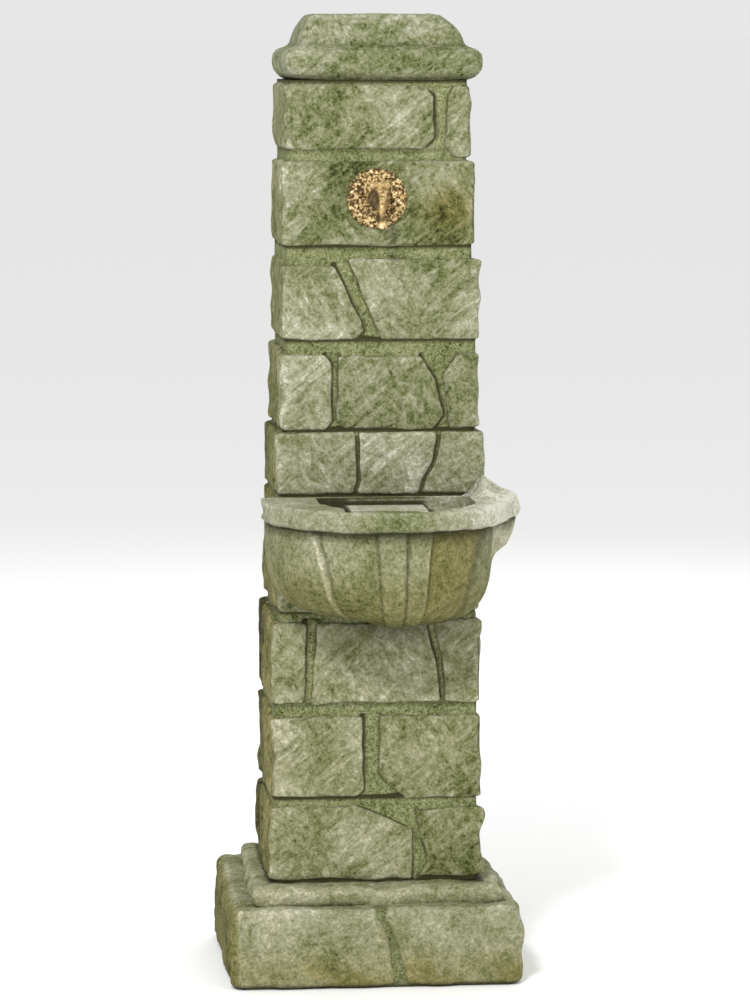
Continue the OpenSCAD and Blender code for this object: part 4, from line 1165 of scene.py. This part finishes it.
def cup_rest(material):
    """The flat slab let into the rim, on two short legs."""
    low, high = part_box("cup_rest")
    blunt = dict.fromkeys(("left", "right", "low", "high", "face"), 2 * MM)
    points, faces, edge, _ = stone(high.y - low.y, CUP_REST_THICK, CORNER, CORNER, (low.x, high.x),
                                   rounds=blunt, seed=600, relief=0.7, step=3 * MM, wave=0.4)
    points = laid_flat(points, low, high)
    points[:, 2] += 0.5 * MM
    x, y, _ = points.T
    # Painted shade along the slab's left and right ends and its back edge.
    shaded = np.maximum(np.maximum(smoothstep(high.x - 7 * MM, high.x - 4 * MM, x),
                                   smoothstep(low.x + 5 * MM, low.x + 2.5 * MM, x)),
                        smoothstep(high.y - 14 * MM, high.y - 6 * MM, y))
    shape = Shape()
    shape.add(points, faces, edge=edge, tone=2.0, deep=0.92 * shaded)
    for leg_x in CUP_REST_LEGS:
        tall = high.z - CUP_REST_THICK - CUP_REST_FOOT + 2 * MM
        points, faces, edge, _ = stone(tall, 10 * MM, CORNER, CORNER, (-7 * MM, 7 * MM), rounds=blunt,
                                       seed=610, relief=0.5, step=4 * MM, wave=0.2)
        points += np.array([leg_x, high.y - 13 * MM, CUP_REST_FOOT])
        # A little painted shade on the legs under the slab.
        shape.add(points, faces, edge=edge, tone=0.0, deep=0.2)
    shape.piece("cup_rest_stone", "cup_rest_slab", "cast_stone", material, "cup_rest")


# ---------------- rosette and tap

def rosette(material):
    """A cast disc: twelve round leaves at the edge, six veined leaves inside, beads between and a boss."""
    low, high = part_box("rosette")
    tap_z, radius = middle_of("rosette")[2], (high.x - low.x) / 2
    hole = 10.6 * MM
    count, rings = 300, 74
    angle = np.linspace(0, 2 * math.pi, count, endpoint=False)
    share = np.linspace(1, 0, rings) ** 0.9
    r, t = np.meshgrid(share, angle, indexing="ij")
    leaf = np.abs(np.cos(6 * t))
    scallop = radius * (0.955 + 0.045 * np.sqrt(leaf))
    reach = hole + (scallop - hole) * r
    s = reach / radius
    outer = bell(s, 0.84, 0.10) * (0.35 + 0.65 * leaf ** 0.7)
    vein = 0.5 + 0.5 * np.cos(36 * t)
    inner_leaf = bell(s, 0.60, 0.13) * np.abs(np.cos(3 * t + 0.26)) ** 0.8
    beads = bell(s, 0.72, 0.035) * (0.5 + 0.5 * np.cos(30 * t)) ** 2
    boss = smoothstep(0.44, 0.36, s)
    ribs = boss * (0.5 + 0.5 * np.cos(18 * t)) * smoothstep(0.2, 0.4, s)
    flat = np.stack([reach * np.cos(t), reach * np.sin(t), np.zeros_like(t)], axis=-1)
    cast = 0.45 * bumps(flat, 3.4 * MM, 700) + 0.55 * bumps(flat, 1.9 * MM, 701)
    relief = (3.0 * outer + 2.4 * inner_leaf * (0.65 + 0.35 * vein) + 1.6 * beads + 6.5 * boss + 0.8 * ribs
              + 2.2 * cast * (1 - 0.6 * boss))
    height = (2.4 + relief) * smoothstep(1.005, 0.975, r) * MM
    height = np.where(r >= 0.999, 0, height)
    crest = np.clip(0.50 + 0.05 * (relief - 3.0) * (1 - boss) + 0.75 * cast + 0.1 * beads - 0.15 * boss,
                    0, 1)
    points = np.stack([flat[..., 0], high.y - height, tap_z + flat[..., 1]], axis=-1).reshape(-1, 3)
    faces = [face[::-1] for face in rings_to_faces(rings, count)]
    back, last = len(points), (rings - 1) * count
    inner = points[last:].copy()
    inner[:, 1] = high.y
    points = np.concatenate([points, inner])
    faces += [(last + (k + 1) % count, last + k, back + k, back + (k + 1) % count) for k in range(count)]
    faces += [(k, (k + 1) % count, back + (k + 1) % count, back + k) for k in range(count)]
    shape = Shape()
    shape.add(points, faces, crest=np.append(crest.reshape(-1), np.full(count, 0.2)))
    shape.piece("rosette_casting", "pillar", "brass", material, "rosette")


def circle(side, other, count):
    """Unit vectors round a circle."""
    angle = np.linspace(0, 2 * math.pi, count, endpoint=False)[:, None]
    return np.cos(angle) * side + np.sin(angle) * other


def lathe(shape, base, axis, outline, crest=0.6):
    """A turned solid. The outline is (distance along the axis, radius), in millimetres, from one end
    to the other, and the solid is closed at both ends."""
    count = 48
    axis = np.array(axis, float)
    side = np.array([0, 0, 1.0]) if abs(axis[2]) < 0.5 else np.array([1.0, 0, 0])
    around = circle(side, np.cross(axis, side), count)
    points = [np.array(base) + axis * along * MM + around * r * MM for along, r in outline]
    radii = np.array([r for along, r in outline])
    blurred = np.convolve(np.pad(radii, 1, "edge"), [1 / 3] * 3, "valid")
    shape.add(np.concatenate(points), closed_faces(len(outline), count),
              crest=np.repeat(crest + 0.5 * (radii - blurred) / radii.max(), count))


def soft(outline, rounds=2):
    """The outline with its corners cut off again and again, so that a cast edge is round."""
    for _ in range(rounds):
        cut = [outline[0]]
        for (a, ra), (b, rb) in zip(outline, outline[1:]):
            cut += [(a * near + b * (1 - near), ra * near + rb * (1 - near)) for near in (0.75, 0.25)]
        outline = cut + [outline[-1]]
    return outline


def bent_pipe(shape, path, radii):
    """A closed solid round a path in the plane x = 0, with a radius at every point."""
    count = 40
    along = np.gradient(np.array(path), axis=0)
    along /= np.linalg.norm(along, axis=1, keepdims=True)
    side = np.array([1.0, 0, 0])
    points = [centre + radius * circle(side, np.cross(direction, side), count)
              for centre, direction, radius in zip(path, along, radii)]
    shape.add(np.concatenate(points), closed_faces(len(path), count), crest=0.6)


def tap(material):
    """The tap's casting: tail, flange, shank with a collar, plug housing, and a spout bent down to a lip."""
    low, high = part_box("tap_body")
    tap_z = middle_of("rosette")[2]
    plug_y = middle_of("tap_plug")[1]
    flange_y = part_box("rosette")[0].y - 1.5 * MM
    spout_y = low.y + 8.5 * MM
    shape = Shape()
    to_plug = (flange_y - plug_y) / MM
    lathe(shape, (0, high.y, tap_z), (0, -1, 0),
          soft([(0, 9.5), (1.5, 10.4), ((high.y - flange_y) / MM, 10.4)], 1), crest=0.5)
    lathe(shape, (0, flange_y, tap_z), (0, -1, 0),
          soft([(-0.5, 13), (0, 14), (2.2, 14), (4, 11.5), (5.5, 8.6), (9, 7.6), (11.5, 9.6), (13.5, 9.6),
                (15.5, 7.8), (to_plug - 7, 8.6), (to_plug, 8.0)]))
    lathe(shape, (0, plug_y, tap_z), (0, 0, 1),
          soft([(-15, 9.0), (-14, 10.6), (-11, 11), (-9, 10), (0, 10.8), (9, 10), (11, 11.2), (12.6, 11),
                (13, 9.4)]))
    bend = 11 * MM
    path = [(0, plug_y - k * MM, tap_z) for k in (0, 4, 8)]
    path = [p for p in path if p[1] > spout_y + bend]
    for a in np.radians(np.linspace(0, 90, 16)):
        path.append((0, spout_y + bend * (1 - math.sin(a)), tap_z - bend * (1 - math.cos(a))))
    path += [(0, spout_y, z) for z in np.linspace(tap_z - bend - 3 * MM, low.z + 6 * MM, 7)]
    bent_pipe(shape, path, np.interp(np.linspace(0, 1, len(path)), [0, 0.25, 0.7, 1],
                                     [7.6 * MM, 6.6 * MM, 6.0 * MM, 6.4 * MM]))
    lathe(shape, (0, spout_y, low.z), (0, 0, 1),
          soft([(6, 4.4), (0.2, 4.6), (0, 5.2), (0, 7.6), (1.2, 8.5), (4.2, 8.4), (5.6, 7.2), (8.5, 6.6),
                (9.5, 5.8)]))
    # Painted shade down the left side and at the spout's mouth, a painted highlight band round the lip and a
    # painted shade band above it, over a fine mottle.
    for points, crest in zip(shape.points, shape.values["crest"]):
        below = tap_z - points[:, 2]
        band = 0.35 * bell(below, 36 * MM, 4 * MM) - 0.4 * bell(below, 25 * MM, 5 * MM)
        on_left = smoothstep(-1 * MM, -5 * MM, points[:, 0])
        crest += (0.35 * bumps(points, 4 * MM, 720) + band - 0.45 * on_left
                  - 0.5 * smoothstep(39.5 * MM, 41.5 * MM, below))
    shape.piece("tap_casting", "pillar", "brass", material, "tap_body")


def tap_handle(material):
    """The turning plug with its neck, two flattened lobes and its threaded stud below."""
    tap_z = middle_of("rosette")[2]
    plug_y = middle_of("tap_plug")[1]
    stud = (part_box("tap_plug")[0].z - tap_z) / MM
    shape = Shape()
    lathe(shape, (0, plug_y, tap_z), (0, 0, 1),
          soft([(stud, 2.6), (stud + 0.6, 3), (-15.2, 3), (-15, 6.9), (14, 6.9), (14.6, 5.6), (16, 4.2),
                (18, 3.8), (23, 4.4), (24.6, 3.2), (25.2, 0.6)], 1))
    for side in (-1, 1):
        lathe(shape, (0, plug_y, tap_z + 20 * MM), (side, 0, 0),
              soft([(0, 3.2), (4, 3.0), (6, 4.0), (8, 5.3), (10.5, 5.6), (13, 5.0), (14.8, 3.2),
                    (15.4, 0.8)]))
    shape.piece("tap_key_casting", "tap_key", "brass", material, "tap_plug")


# ---------------- everything together

def dress(material, *nodes):
    """Gives CAD nodes that keep their own meshes a material."""
    for node in nodes:
        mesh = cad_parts[node].data
        mesh.materials.clear()
        mesh.materials.append(material)


camera()
studio()

column_stone = weathered_stone("column_stone", light=0.004, warm=0.14)
plinth_stone = weathered_stone("plinth_stone", light=0.02, warm=0.22, streaks=0.55)
basin_stone = weathered_stone("basin_stone", light=0.01, warm=0.34, streaks=0.35)
mortar_film = mossy_mortar()
brass_cast = aged_brass()

for course_number in range(1, COURSES + 1):
    course(course_number, column_stone)
mortar(mortar_film)
plinth(plinth_stone)
plinth_mortar(mortar_film)
step(plinth_stone)
cap(column_stone)
basin(basin_stone)
cup_rest(plinth_stone)
rosette(brass_cast)
tap(brass_cast)
tap_handle(brass_cast)

dress(plain_concrete(), "base_slab", "plinth_core", "column_core")
dress(mortar_film, "basin_bedding")
dress(metal("bright_brass", (0.42, 0.27, 0.10), (0.68, 0.47, 0.20), (0.80, 0.60, 0.30), 0.30),
      "tap_plug_washer", "tap_plug_nut", "tap_backnut", "supply_elbow", "stop_valve_body", "supply_union",
      "drain_nut")
dress(metal("copper_pipe", (0.36, 0.15, 0.08), (0.72, 0.36, 0.24), (0.86, 0.50, 0.36), 0.32,
            grain=(1, 1, 10)),
      "supply_riser", "supply_tail", "drain_tube")
dress(metal("brushed_steel", (0.44, 0.44, 0.43), (0.54, 0.54, 0.54), (0.62, 0.62, 0.62), 0.34,
            grain=(16, 1, 1), scale=900.0),
      "access_frame", "access_cover", "access_screws", "basin_dowels", "tap_washer", "stop_valve_ball",
      "stop_valve_stem", "stop_valve_nut", "waste_grid")
dress(moulded("white_plastic", (0.66, 0.66, 0.63), (0.76, 0.76, 0.73), 0.42),
      "trap_body", "trap_cup", "waste_elbow", "waste_pipe", "waste_coupling", "pipe_clips")
dress(moulded("black_rubber", (0.012, 0.012, 0.012), (0.028, 0.028, 0.028), 0.72, 700.0),
      "tap_seal", "drain_washer")
dress(moulded("red_lever_paint", (0.36, 0.03, 0.02), (0.48, 0.05, 0.03), 0.35), "stop_valve_lever")
